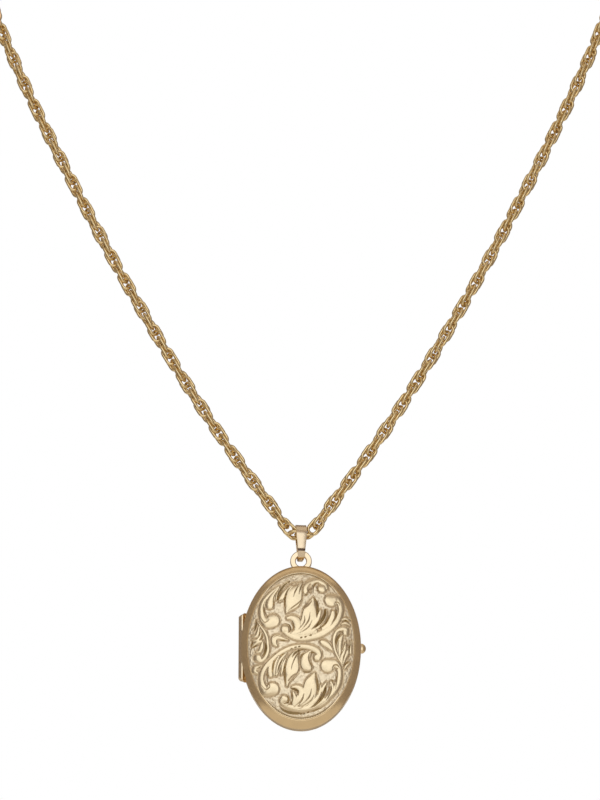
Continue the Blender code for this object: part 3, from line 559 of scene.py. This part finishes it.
def carving(points):
    """Height of the carved surface at points in carving units, and the number of its finish there."""
    rise = np.zeros(len(points))
    gap = np.full(len(points), np.inf)
    for stroke in LEAVES:
        wider = [(x, z, w + LEAF_SPREAD) for x, z, w in stroke]
        close, outside, share, width = nearest(points, wider, LEAF_MARGIN)
        edge = soft(np.clip(-outside * CARVE_UNIT / LEAF_EDGE, 0, 1))
        crown = np.clip(1 - share ** 2, 0, 1) * np.clip(width / CROWN_HALF_WIDTH, *CROWN_SHARES)
        height = np.where(outside < 0, LEAF_RISE * edge + LEAF_CROWN * crown, 0)
        rise[close] = np.maximum(rise[close], height)
        gap[close] = np.minimum(gap[close], outside)
    cut = np.zeros(len(points))
    for stroke in CUTS:
        close, _, share, width = nearest(points, stroke, CUT_MARGIN)
        depth = CUT_DEPTH * np.clip(1 - share, 0, 1) * np.clip(width, *CUT_SHARES)
        cut[close] = np.maximum(cut[close], depth)
    scoop = np.zeros(len(points))
    for stroke in SCOOPS:
        close, _, share, _ = nearest(points, stroke, CUT_MARGIN)
        scoop[close] = np.maximum(scoop[close], np.clip(1 - share ** 2, 0, 1))
    on_leaf = gap < 0
    groove = np.clip(1 - gap * CARVE_UNIT / OUTLINE_WIDTH, 0, 1) ** 2 * OUTLINE_DEPTH
    ground = stipple(points * CARVE_UNIT) - np.where(on_leaf, 0, groove)
    # Grooves round the leaves and the scoops take darker gold as painted shade
    outline_painted_shade_mask = gap * CARVE_UNIT < OUTLINE_PAINTED_SHADE_SHARE * OUTLINE_WIDTH
    finish = np.where(on_leaf, LEAF, np.where(outline_painted_shade_mask, OUTLINE_PAINTED_SHADE, GROUND))
    finish = np.where(scoop > SCOOP_PAINTED_SHADE_SHARE, OUTLINE_PAINTED_SHADE, finish)
    # Deep cuts take dark gold as painted shade
    finish = np.where(cut > RECESS_PAINTED_SHADE_SHARE * CUT_DEPTH, RECESS_PAINTED_SHADE, finish)
    return np.where(on_leaf, rise, ground) - cut - scoop * SCOOP_DEPTH, finish


# Covers
def cover_profile(crown, drop):
    """Rows of a cover from the plateau's edge round to the inside: share of half width, depth, inset."""
    rows = []
    for i in range(SHOULDER_STEPS + 1):
        out = math.sin(math.pi / 2 * i / SHOULDER_STEPS)
        round_fall = math.sqrt(1 - out ** 2)
        fall = SHOULDER_ROUND * round_fall + (1 - SHOULDER_ROUND) * (1 - out)
        depth = SIDE_WALL_DEPTH + (SHOULDER_DEPTH - drop) * fall
        rows.append((1 - SHOULDER_SHARE * (1 - out), depth, 0.0))
    rows += [(1, depth, 0.0) for depth in np.linspace(SIDE_WALL_DEPTH, 0, OUTER_WALL_STEPS + 1)[1:]]
    rows += [(1, depth, WALL) for depth in np.linspace(0, SIDE_WALL_DEPTH, INNER_WALL_STEPS + 1)]
    for i in range(1, INNER_SHOULDER_STEPS + 1):
        turn = math.pi / 2 * i / INNER_SHOULDER_STEPS
        depth = SIDE_WALL_DEPTH + (SHOULDER_DEPTH - WALL) * math.sin(turn)
        rows.append((1 - SHOULDER_SHARE * (1 - math.cos(turn)), depth, WALL))
    plateau = 1 - SHOULDER_SHARE
    rows += [(plateau * s, CASE_DEPTH - WALL + crown * (1 - s ** 2), WALL) for s in INNER_PLATEAU_SHARES]
    return np.array(rows)


def disc_grid(count):
    """A square grid drawn round to a disc, with its edge in order of turn."""
    line = np.linspace(-1, 1, count)
    across, up = np.meshgrid(line, line)
    wide = np.abs(across) > np.abs(up)
    reach = np.where(wide, across, up)
    safe = np.where(reach == 0, 1, reach)
    turn = np.where(wide, math.pi / 4 * up / safe, math.pi / 2 - math.pi / 4 * across / safe)
    index = np.arange(count * count).reshape(count, count)
    edge = np.concatenate([index[:-1, -1], index[-1, :0:-1], index[:0:-1, 0], index[0, :-1]])
    quads = np.stack([index[:-1, :-1], index[:-1, 1:], index[1:, 1:], index[1:, :-1]], -1).reshape(-1, 4)
    return (reach * np.cos(turn)).ravel(), (reach * np.sin(turn)).ravel(), edge, quads


def engraved(disc_x, disc_z, out, plateau_x, plateau_z):
    """Height of the carving and of the ticked line round it, and the number of the finish there."""
    height, finish = carving(np.stack([disc_x * plateau_x, disc_z * plateau_z], 1) / CARVE_UNIT)
    fade = np.clip((1 - out) / FADE_SHARE, 0, 1)
    ring = np.clip(1 - np.abs(out - EDGE_TICK_PLACE) / EDGE_TICK_LENGTH, 0, 1)
    ring = ring * np.clip((np.abs(disc_z) - EDGE_LINE_FROM) * EDGE_LINE_GROWTH, 0, 1)
    ticks = np.clip(np.cos(np.arctan2(disc_z, disc_x) * EDGE_TICKS) + EDGE_TICK_FULLNESS, 0, 1)
    ticked = ring * (1 - EDGE_TICK_WEIGHT + EDGE_TICK_WEIGHT * ticks)
    # The ticked line takes the groove's darker gold as painted shade
    finish = np.where(ring > EDGE_LINE_PAINTED_SHADE_SHARE, OUTLINE_PAINTED_SHADE, finish)
    # Its deep ticks take the cuts' dark gold as painted shade
    finish = np.where(ticked > EDGE_RECESS_PAINTED_SHADE_SHARE, RECESS_PAINTED_SHADE, finish)
    finish = np.where(out > EDGE_TICK_PLACE + EDGE_TICK_LENGTH, BORDER, finish)
    return height * fade - ring * (EDGE_LINE_DEPTH + ticks * EDGE_TICK_DEPTH), finish


def notched(x, y, z, inside, radius):
    """Places across, moved in where the hinge's notch is pressed into the wall."""
    beside = (z > HINGE_BOTTOM) & (z < HINGE_TOP) & (x < 0) & (np.abs(y - HINGE.y) < radius)
    notch = HINGE.x + np.sqrt(np.clip(radius ** 2 - (y - HINGE.y) ** 2, 0, None)) + NOTCH_WALL * inside
    return np.where(beside, np.maximum(x, notch), x)


def cover_mesh(name, crown, rim_y, side, count, notch_radius, carved):
    """A closed oval shell, with the hinge's notch pressed into its wall."""
    plateau_x = HALF_WIDTH * (1 - SHOULDER_SHARE)
    plateau_z = HALF_HEIGHT * (1 - TALL_SHOULDER_SHARE)
    disc_x, disc_z, edge, quads = disc_grid(count)
    out = np.hypot(disc_x, disc_z)
    drop = PLATEAU_DROP if carved else 0.0
    depth = CASE_DEPTH + crown - (crown + drop) * out ** DOME_POWER
    finish = np.full(len(out), BORDER)
    if carved:
        height, finish = engraved(disc_x, disc_z, out, plateau_x, plateau_z)
        depth = depth + height
    rows = cover_profile(crown, drop)
    turns = np.arctan2(disc_z[edge], disc_x[edge])
    share = rows[:, :1]
    tall = 1 - (1 - share) * TALL_SHOULDER_SHARE / SHOULDER_SHARE
    inner_tall = share * plateau_z / HALF_HEIGHT / (1 - SHOULDER_SHARE)
    tall = np.where(share < 1 - SHOULDER_SHARE, inner_tall, tall)
    across = share * (HALF_WIDTH - rows[:, 2:]) * np.cos(turns)
    up = tall * (HALF_HEIGHT - rows[:, 2:]) * np.sin(turns)
    sunk = rows[:, 1:2] * np.ones(len(turns))
    inside = np.repeat(rows[:, 2] > 0, len(turns))
    inside = np.concatenate([np.zeros(len(out), bool), inside, [True]])
    x = CASE_X + np.concatenate([disc_x * plateau_x, across.ravel(), [0]])
    y = rim_y + side * np.concatenate([depth, sunk.ravel(), [CASE_DEPTH - WALL + crown]])
    z = CASE_Z + np.concatenate([disc_z * plateau_z, up.ravel(), [0]])
    x = notched(x, y, z, inside, notch_radius)
    strip = len(out) + np.arange(rows.shape[0] * len(turns)).reshape(rows.shape[0], len(turns))
    loops = np.vstack([edge[None], strip])
    after = np.roll(loops, -1, axis=1)
    bands = np.stack([loops[:-1], loops[1:], after[1:], after[:-1]], -1).reshape(-1, 4)
    middle = np.stack([strip[-1], np.full(len(turns), len(x) - 1), np.roll(strip[-1], -1)], -1)
    if side > 0:
        quads, bands, middle = quads[:, ::-1], bands[:, ::-1], middle[:, ::-1]
    mesh = bpy.data.meshes.new(name)
    vertices = np.stack([x, y, z], 1)
    mesh.from_pydata(vertices.tolist(), [], quads.tolist() + bands.tolist() + middle.tolist())
    marks = np.full(len(mesh.polygons), BORDER, np.int32)
    marks[:len(quads)] = finish[quads[:, 0]]
    mesh.polygons.foreach_set("material_index", marks)
    return mesh


def front_cover():
    """The lid, carved on its plateau."""
    mesh = cover_mesh("carved_front", crown=FRONT_CROWN, rim_y=FRONT_RIM_Y, side=-1, count=CARVED_GRID,
                      notch_radius=FRONT_NOTCH, carved=True)
    # The last two materials are painted shade in grooves, scoops, cuts and ticks
    for material in (satin, leaf_cut, matted, painted_outline_shade, painted_recess_shade):
        mesh.materials.append(material)
    shown("carved_front", mesh, "lid", "front_cover")


def back_cover():
    """The back half, flat and plain."""
    mesh = cover_mesh("plain_back", crown=0.0, rim_y=BACK_RIM_Y, side=1, count=PLAIN_GRID,
                      notch_radius=BACK_NOTCH, carved=False)
    mesh.materials.append(satin)
    shown("plain_back", mesh, "case", "back_cover")


# Bail
def bail_line():
    """The strap's outside from the top down, as depth, height and width, and where its crease is."""
    reach = BAIL_EYE_RADIUS + BAIL_STRAP
    tip = BAIL_TIP_RADIUS + BAIL_STRAP
    half = []
    for i in range(BAIL_EYE_STEPS + 1):
        turn = math.pi / 2 * i / BAIL_EYE_STEPS
        height = (reach + BAIL_TOP_DROP) * math.cos(turn) - BAIL_TOP_DROP
        half.append((BAIL_EYE_HALF_DEPTH * math.sin(turn), height, BAIL_TOP_WIDTH))
    fold = (BAIL_FOLD_HALF_DEPTH, BAIL_FOLD_RISE - BAIL_HANG, BAIL_FOLD_WIDTH)
    start = half[-1]
    for i in range(1, BAIL_SIDE_STEPS + 1):
        half.append(tuple(a + (b - a) * i / BAIL_SIDE_STEPS for a, b in zip(start, fold)))
    crease = len(half) - 1
    half.append((fold[0] - BAIL_CREASE, fold[1] - BAIL_CREASE_WIDTH * BAIL_CREASE_MIDDLE, BAIL_FOLD_WIDTH))
    half.append((fold[0] - BAIL_CREASE * BAIL_LIP_SHARE, fold[1] - BAIL_CREASE_WIDTH, BAIL_LIP_WIDTH))
    for i in range(BAIL_TIP_STEPS + 1):
        turn = math.radians(BAIL_LIP_DEGREES + (90 - BAIL_LIP_DEGREES) * i / BAIL_TIP_STEPS)
        width = BAIL_LIP_WIDTH + (BAIL_TIP_WIDTH - BAIL_LIP_WIDTH) * i / BAIL_TIP_STEPS
        half.append((BAIL_TIP_HALF_DEPTH * math.cos(turn), -BAIL_HANG - tip * math.sin(turn), width))
    return half, crease


def bail():
    """One flat strap bent over the chain, with a crease at the front and back, and brought through the
    loop.
    """
    half, crease = bail_line()
    shares = np.interp(range(len(half)), [0, crease / 3, crease, len(half) - 1],
                       [1, BAIL_BACK_SHOULDER_SHARE, BAIL_BACK_SHARE, 1])
    behind = [(d, h, w * share) for (d, h, w), share in zip(half, shares)]
    line = [(-d, h, w) for d, h, w in half] + behind[-2:0:-1]
    place = Matrix.Translation(SEAT + Vector((BAIL_ASIDE, 0, 0))) @ Matrix.Rotation(BAIL_TURN, 4, 'Z')
    outer = [[place @ Vector((side * w / 2, d, h)) for d, h, w in line] for side in (-1, 1)]
    count = len(line)
    faces = [(i, (i + 1) % count, count + (i + 1) % count, count + i) for i in range(count)]
    mesh = bpy.data.meshes.new("bail_strap")
    mesh.from_pydata(outer[0] + outer[1], [], faces)
    if mesh.polygons[0].normal.z < 0:
        mesh.flip_normals()
    mesh.materials.append(bail_polish)
    # The faces at the creases get dark gold as painted shade
    mesh.materials.append(painted_crease_shade)
    for i in (crease, crease + 1, count - crease - 1, count - crease - 2):
        mesh.polygons[i].material_index = 1
    piece = shown("bail_strap", mesh, "bail", "bail")
    thickness = piece.modifiers.new("strap", 'SOLIDIFY')
    thickness.thickness = BAIL_STRAP
    thickness.offset = -1
    thickness.use_even_offset = True
    ease_edges(piece, BAIL_EASE)


# Hinge
def filed(height, x, y):
    """A height on the hinge beside the pin's middle, with the hinge's two ends filed back at a slant."""
    back = max(0, (FILED_REACH - x) * FILED_SLOPE - y * FILED_LEAN)
    return min(max(height, HINGE_BOTTOM + back), HINGE_TOP - back)


def tube(name, vertices, sides, bore=()):
    """A closed skin over rings of the same number of points, with a hole where a bore's rings are given."""
    last = len(vertices) - sides
    inner = len(vertices)
    faces = []
    for i in range(sides):
        after = (i + 1) % sides
        for row in range(0, last, sides):
            around = (row + i, row + after, row + sides + after, row + sides + i)
            faces.append(around)
            if bore:
                faces.append(tuple(inner + corner for corner in around[::-1]))
        if bore:
            faces.append((i, inner + i, inner + after, after))
            faces.append((last + i, last + after, inner + last + after, inner + last + i))
    if not bore:
        faces.append(tuple(range(sides))[::-1])
        faces.append(tuple(range(last, last + sides)))
    mesh = bpy.data.meshes.new(name)
    mesh.from_pydata([*vertices, *bore], [], faces)
    skin = bmesh.new()
    skin.from_mesh(mesh)
    bmesh.ops.remove_doubles(skin, verts=skin.verts, dist=MERGE_DISTANCE)
    bmesh.ops.recalc_face_normals(skin, faces=skin.faces)
    skin.to_mesh(mesh)
    skin.free()
    return mesh


def crisp(name, mesh, body, node):
    """A polished piece in a node's place, smooth between its sharp edges."""
    mesh.materials.append(polished)
    shown(name, mesh, body, node)
    mesh.set_sharp_from_angle(angle=SHARP_ANGLE)


def pin():
    """The hinge's pin, its ends filed flush with the outer knuckles."""
    vertices = []
    for height in np.linspace(HINGE_BOTTOM, HINGE_TOP, PIN_ROWS):
        for i in range(PIN_SIDES):
            turn = 2 * math.pi * i / PIN_SIDES
            x = PIN_RADIUS * math.cos(turn)
            y = PIN_RADIUS * math.sin(turn)
            vertices.append((HINGE.x + x, HINGE.y + y, filed(height, x, y)))
    crisp("filed_pin", tube("filed_pin", vertices, PIN_SIDES), "case", "hinge_pin")


def barrel_section(radius, crest_x, webbed):
    """Points round a barrel from the side of the case by the front; None stands for the case's wall."""
    quarter = [math.pi / 2 * i / BARREL_STEPS for i in range(BARREL_STEPS + 1)]
    crest = math.atan2(BARREL_FRONT, crest_x)
    swing = math.hypot(crest_x, BARREL_FRONT)
    turns = np.linspace(0, crest, BARREL_CREST_STEPS, endpoint=False)
    section = [(swing * math.cos(t), -swing * math.sin(t)) for t in turns]
    section += [(crest_x - (crest_x + radius) * math.sin(t), -BARREL_FRONT * math.cos(t)) for t in quarter]
    section += [(-radius * math.cos(t), radius * math.sin(t)) for t in quarter[1:]]
    if webbed:
        return section + [(None, radius), (None, radius * WEB_SLANT)]
    return section + [(radius * math.sin(t), radius * math.cos(t)) for t in quarter[1:]]


def knuckle(node, body, crest_x, webbed):
    """A bored barrel, with the web that holds it to the back where it has one."""
    low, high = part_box(node)
    section = barrel_section(HINGE.x - low.x - BARREL_TRIM, crest_x, webbed)
    bore_radius = PIN_RADIUS + PIN_CLEARANCE
    vertices = []
    bore = []
    for height in np.linspace(low.z, high.z, BARREL_ROWS):
        rise = (height - CASE_Z) / HALF_HEIGHT
        wall_x = CASE_X - HALF_WIDTH * math.sqrt(1 - rise ** 2) + WEB_LAP - HINGE.x
        for section_x, y in section:
            x = wall_x if section_x is None else section_x
            turn = math.atan2(y, x)
            bore_x = bore_radius * math.cos(turn)
            bore_y = bore_radius * math.sin(turn)
            vertices.append((HINGE.x + x, HINGE.y + y, filed(height, x, y)))
            bore.append((HINGE.x + bore_x, HINGE.y + bore_y, filed(height, bore_x, bore_y)))
    name = node + "_barrel"
    crisp(name, tube(name, vertices, len(section), bore), body, node)


# Snap rim
def snap_rim():
    """The band that the lid snaps over, left open along the hinge."""
    low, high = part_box("snap_rim")
    outer_x = (high.x - low.x) / 2
    outer_z = (high.z - low.z) / 2
    above = HINGE_TOP + RIM_GAP - CASE_Z
    below = CASE_Z - HINGE_BOTTOM + RIM_GAP
    first = math.pi + math.asin(below / outer_z)
    last = 3 * math.pi - math.asin(above / outer_z)
    section = [(0, low.y), (0, high.y), (RIM_THICKNESS, high.y), (RIM_THICKNESS, low.y)]
    vertices = []
    for turn in np.linspace(first, last, RIM_STEPS + 1):
        for inset, y in section:
            x = CASE_X + (outer_x - inset) * math.cos(turn)
            z = CASE_Z + (outer_z - inset) * math.sin(turn)
            vertices.append((x, y, z))
    crisp("open_rim", tube("open_rim", vertices, len(section)), "case", "snap_rim")


# Chain
def smooth_route(route):
    """Points close together on a smooth curve through the route, which starts and ends level."""
    mirrored = (-route[1][0], route[1][1])
    beyond = (2 * route[-1][0] - route[-2][0], route[-1][1])
    return smooth(np.array([mirrored, *route, beyond]), ROUTE_STEPS)


def link_line():
    """One link's middle line and its outward directions, in the link's own plane: along, and aside."""
    straight = LINK_REACH - LINK_HALF_WIDTH
    line = []
    for end in (1, -1):
        for i in range(LINK_END_STEPS + 1):
            turn = math.pi * i / LINK_END_STEPS - math.pi / 2
            outward = Vector((end * math.cos(turn), end * math.sin(turn)))
            line.append((Vector((end * straight, 0)) + outward * LINK_HALF_WIDTH, outward))
        side = Vector((0, end))
        for i in range(1, LINK_SIDE_STEPS):
            along = end * straight * (1 - 2 * i / LINK_SIDE_STEPS)
            line.append((Vector((along, 0)) + side * LINK_HALF_WIDTH, side))
    return line


def add_link(vertices, faces, line, centre, along, aside):
    """One round-wire link about a centre."""
    normal = along.cross(aside)
    start = len(vertices)
    for point, outward in line:
        middle = centre + along * point.x + aside * point.y
        away = along * outward.x + aside * outward.y
        for j in range(LINK_SIDES):
            around = 2 * math.pi * j / LINK_SIDES
            vertices.append(middle + (away * math.cos(around) + normal * math.sin(around)) * LINK_WIRE)
    count = len(line)
    for i in range(count):
        row = start + i * LINK_SIDES
        after = start + (i + 1) % count * LINK_SIDES
        for j in range(LINK_SIDES):
            beside = (j + 1) % LINK_SIDES
            faces.append((row + j, row + beside, after + beside, after + j))


def chain(name, side, jump_ring):
    """Links in a steady spiral from the bail to the clasp, the last one through its jump ring."""
    ring_low, ring_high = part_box(jump_ring)
    ring_edge = max(abs(ring_low.x), abs(ring_high.x))
    ring_wire = ring_high.z - ring_low.z
    line = smooth_route(ROUTE[:-1] + [(ring_edge + CHAIN_END_GAP, ROUTE[-1][1])])
    steps = np.hypot(*np.diff(line, axis=0).T)
    walked = np.concatenate([[0], np.cumsum(steps)])
    total = walked[-1]
    last = total + CHAIN_END_GAP + ring_wire + LINK_WIRE - LINK_REACH
    count = round(last / LINK_PITCH + 0.5)
    pitch = last / (count - 0.5)
    half_turns = round((count - 0.5) * LINK_TURN / math.pi - 0.5)
    link_turn = (half_turns + 0.5) * math.pi / (count - 0.5)

    def place(distance):
        return np.array([np.interp(distance, walked, line[:, k]) for k in (0, 1)])

    out = Vector((0, 1, 0))
    own_line = link_line()
    vertices = []
    faces = []
    for i in range(count):
        distance = (i + 0.5) * pitch
        x, z = place(distance)
        forward = place(distance + ROUTE_PROBE) - place(distance - ROUTE_PROBE)
        along = Vector((side * forward[0], 0, forward[1])).normalized()
        across = along.cross(out)
        turn = (i + 0.5) * link_turn
        aside = out * math.cos(turn) + across * math.sin(turn)
        centre = Vector((side * x, 0, SEAT.z + z))
        add_link(vertices, faces, own_line, centre, along, aside)
    mesh = bpy.data.meshes.new(name)
    mesh.from_pydata(vertices, [], faces)
    mesh.materials.append(chain_polish)
    piece = shown(name + "_links", mesh, "chain", name)


# Pieces whose solids are kept, smoothed and given their finish
def dress(node, material):
    piece = nodes[node]
    piece.data.materials.clear()
    piece.data.materials.append(material)
    weld = piece.modifiers.new("weld", 'WELD')
    weld.merge_threshold = SOLID_MERGE_DISTANCE
    split = piece.modifiers.new("edges", 'EDGE_SPLIT')
    split.split_angle = SHARP_ANGLE
    piece.data.shade_smooth()
    return piece


front_cover()
back_cover()
bail()
knuckle("hinge_knuckle_upper", "case", BARREL_CREST, webbed=True)
knuckle("hinge_knuckle_middle", "lid", FLUSH_CREST, webbed=False)
knuckle("hinge_knuckle_lower", "case", BARREL_CREST, webbed=True)
pin()
snap_rim()
chain("chain_left", side=-1, jump_ring="left_jump_ring")
chain("chain_right", side=1, jump_ring="right_jump_ring")
ease_edges(dress("pendant_loop", polished), LOOP_EASE)
for node in ("back_photo_frame", "front_photo_frame", "clasp_body", "clasp_bolt",
             "left_jump_ring", "right_jump_ring"):
    dress(node, polished)
dress("thumb_piece", satin)
dress("clasp_spring", steel)
dress("back_window", acetate)
dress("front_window", acetate)


# Stage
def placed(name, data, place, facing):
    """A thing in the scene whose own Z axis points in a direction."""
    thing = bpy.data.objects.new(name, data)
    thing.matrix_world = Matrix.Translation(place) @ facing.to_track_quat('Z', 'Y').to_matrix().to_4x4()
    bpy.context.scene.collection.objects.link(thing)
    return thing


def card(name, size, place, aim, shade):
    """A matt card on the stage that faces its aim."""
    shape = bmesh.new()
    bmesh.ops.create_grid(shape, x_segments=1, y_segments=1, size=0.5)
    bmesh.ops.scale(shape, vec=(size[0], size[1], 1), verts=shape.verts)
    mesh = bpy.data.meshes.new(name)
    shape.to_mesh(mesh)
    shape.free()
    material, _, shader = new_material(name)
    shader.inputs["Base Color"].default_value = (*shade, 1)
    shader.inputs["Roughness"].default_value = 0.9
    mesh.materials.append(material)
    thing = placed(name, mesh, place, Vector(aim) - Vector(place))
    return thing


def flag(name, size, place, aim, shade):
    """A card that only reflections show: the camera doesn't see it, and it neither shades nor lights."""
    thing = card(name, size, place, aim, shade)
    thing.visible_camera = False
    thing.visible_diffuse = False
    thing.visible_shadow = False


def lamp(name, size, place, aim, power):
    """A soft lamp that shines at its aim."""
    light = bpy.data.lights.new(name, 'AREA')
    light.shape = 'RECTANGLE'
    light.size = size[0]
    light.size_y = size[1]
    light.energy = power
    placed(name, light, place, Vector(place) - Vector(aim))


def show_pale(material, shade):
    """Brighten a floor for the camera, metal and clear sheet, so that it is pale and keeps its shadows."""
    tree = material.node_tree
    rays = tree.nodes.new("ShaderNodeLightPath")
    seen = rays.outputs["Is Camera Ray"]
    for ray in ("Is Glossy Ray", "Is Transmission Ray"):
        either = tree.nodes.new("ShaderNodeMath")
        either.operation = 'MAXIMUM'
        tree.links.new(seen, either.inputs[0])
        tree.links.new(rays.outputs[ray], either.inputs[1])
        seen = either.outputs[0]
    part = tree.nodes.new("ShaderNodeMath")
    part.operation = 'MULTIPLY'
    part.inputs[1].default_value = FLOOR_GLOW
    tree.links.new(seen, part.inputs[0])
    shader = tree.nodes["Principled BSDF"]
    shader.inputs["Emission Color"].default_value = (*shade, 1)
    tree.links.new(part.outputs[0], shader.inputs["Emission Strength"])


MIDDLE = Vector((CASE_X, HINGE.y, CASE_Z))
FLOOR_SHADE = (0.72, 0.70, 0.67)
FLOOR_GLOW = 0.5
floor = card("floor", size=(4, 4), place=(0, 0, CASE_Z - 0.25), aim=(0, 0, 1), shade=FLOOR_SHADE)
show_pale(floor.data.materials[0], FLOOR_SHADE)
flag("left_flag", size=(2.0, 1.2), place=(-0.36, 0.15, CASE_Z), aim=(0, 0.15, CASE_Z),
     shade=(0.30, 0.255, 0.22))
flag("right_flag", size=(2.0, 1.2), place=(0.36, 0.15, CASE_Z), aim=(0, 0.15, CASE_Z),
     shade=(0.32, 0.27, 0.235))
flag("top_flag", size=(0.72, 0.44), place=(0, -0.13, CASE_Z + 0.5), aim=(0, -0.2, CASE_Z),
     shade=(0.78, 0.69, 0.59))
flag("front_flag", size=(1.2, 0.7), place=(0, -0.75, CASE_Z + 0.85), aim=MIDDLE, shade=(0.54, 0.46, 0.40))
flag("back_flag", size=(1.0, 0.48), place=(0, 0.5, CASE_Z - 0.21), aim=(0, 0, CASE_Z - 0.21),
     shade=(0.37, 0.33, 0.29))
flag("crest_flag", size=(1.0, 0.62), place=(0, 0.3, CASE_Z + 0.28), aim=(0, 0, CASE_Z),
     shade=(0.33, 0.26, 0.21))
flag("low_flag", size=(1.6, 2.0), place=(0, -0.3, CASE_Z - 0.19), aim=(0, -0.3, CASE_Z),
     shade=(0.58, 0.52, 0.45))
lamp("key_light", size=(0.4, 0.3), place=(-0.15, -0.8, CASE_Z + 0.30), aim=MIDDLE, power=0.08)
lamp("fill_light", size=(0.3, 0.3), place=(0.2, -0.8, CASE_Z + 0.1), aim=MIDDLE, power=0.05)

world = bpy.data.worlds.new("white_room")
bpy.context.scene.world = world
world.use_nodes = True
background = world.node_tree.nodes["Background"]
background.inputs["Color"].default_value = (1, 1, 1, 1)
background.inputs["Strength"].default_value = 1.0

# Camera
camera_data = bpy.data.cameras.new("camera")
camera_data.lens = CAMERA_LENS
camera_data.sensor_width = CAMERA_SENSOR
camera_data.clip_start = 0.01
camera = bpy.data.objects.new("camera", camera_data)
camera_back = -math.cos(CAMERA_BELOW) * CAMERA_DISTANCE
camera_down = -math.sin(CAMERA_BELOW) * CAMERA_DISTANCE
camera.location = MIDDLE + Vector((CAMERA_SIDE, camera_back, camera_down))
camera.rotation_euler = (math.pi / 2 + CAMERA_PITCH, 0, 0)
bpy.context.scene.collection.objects.link(camera)
bpy.context.scene.camera = camera
bpy.context.scene.view_settings.view_transform = 'Standard'
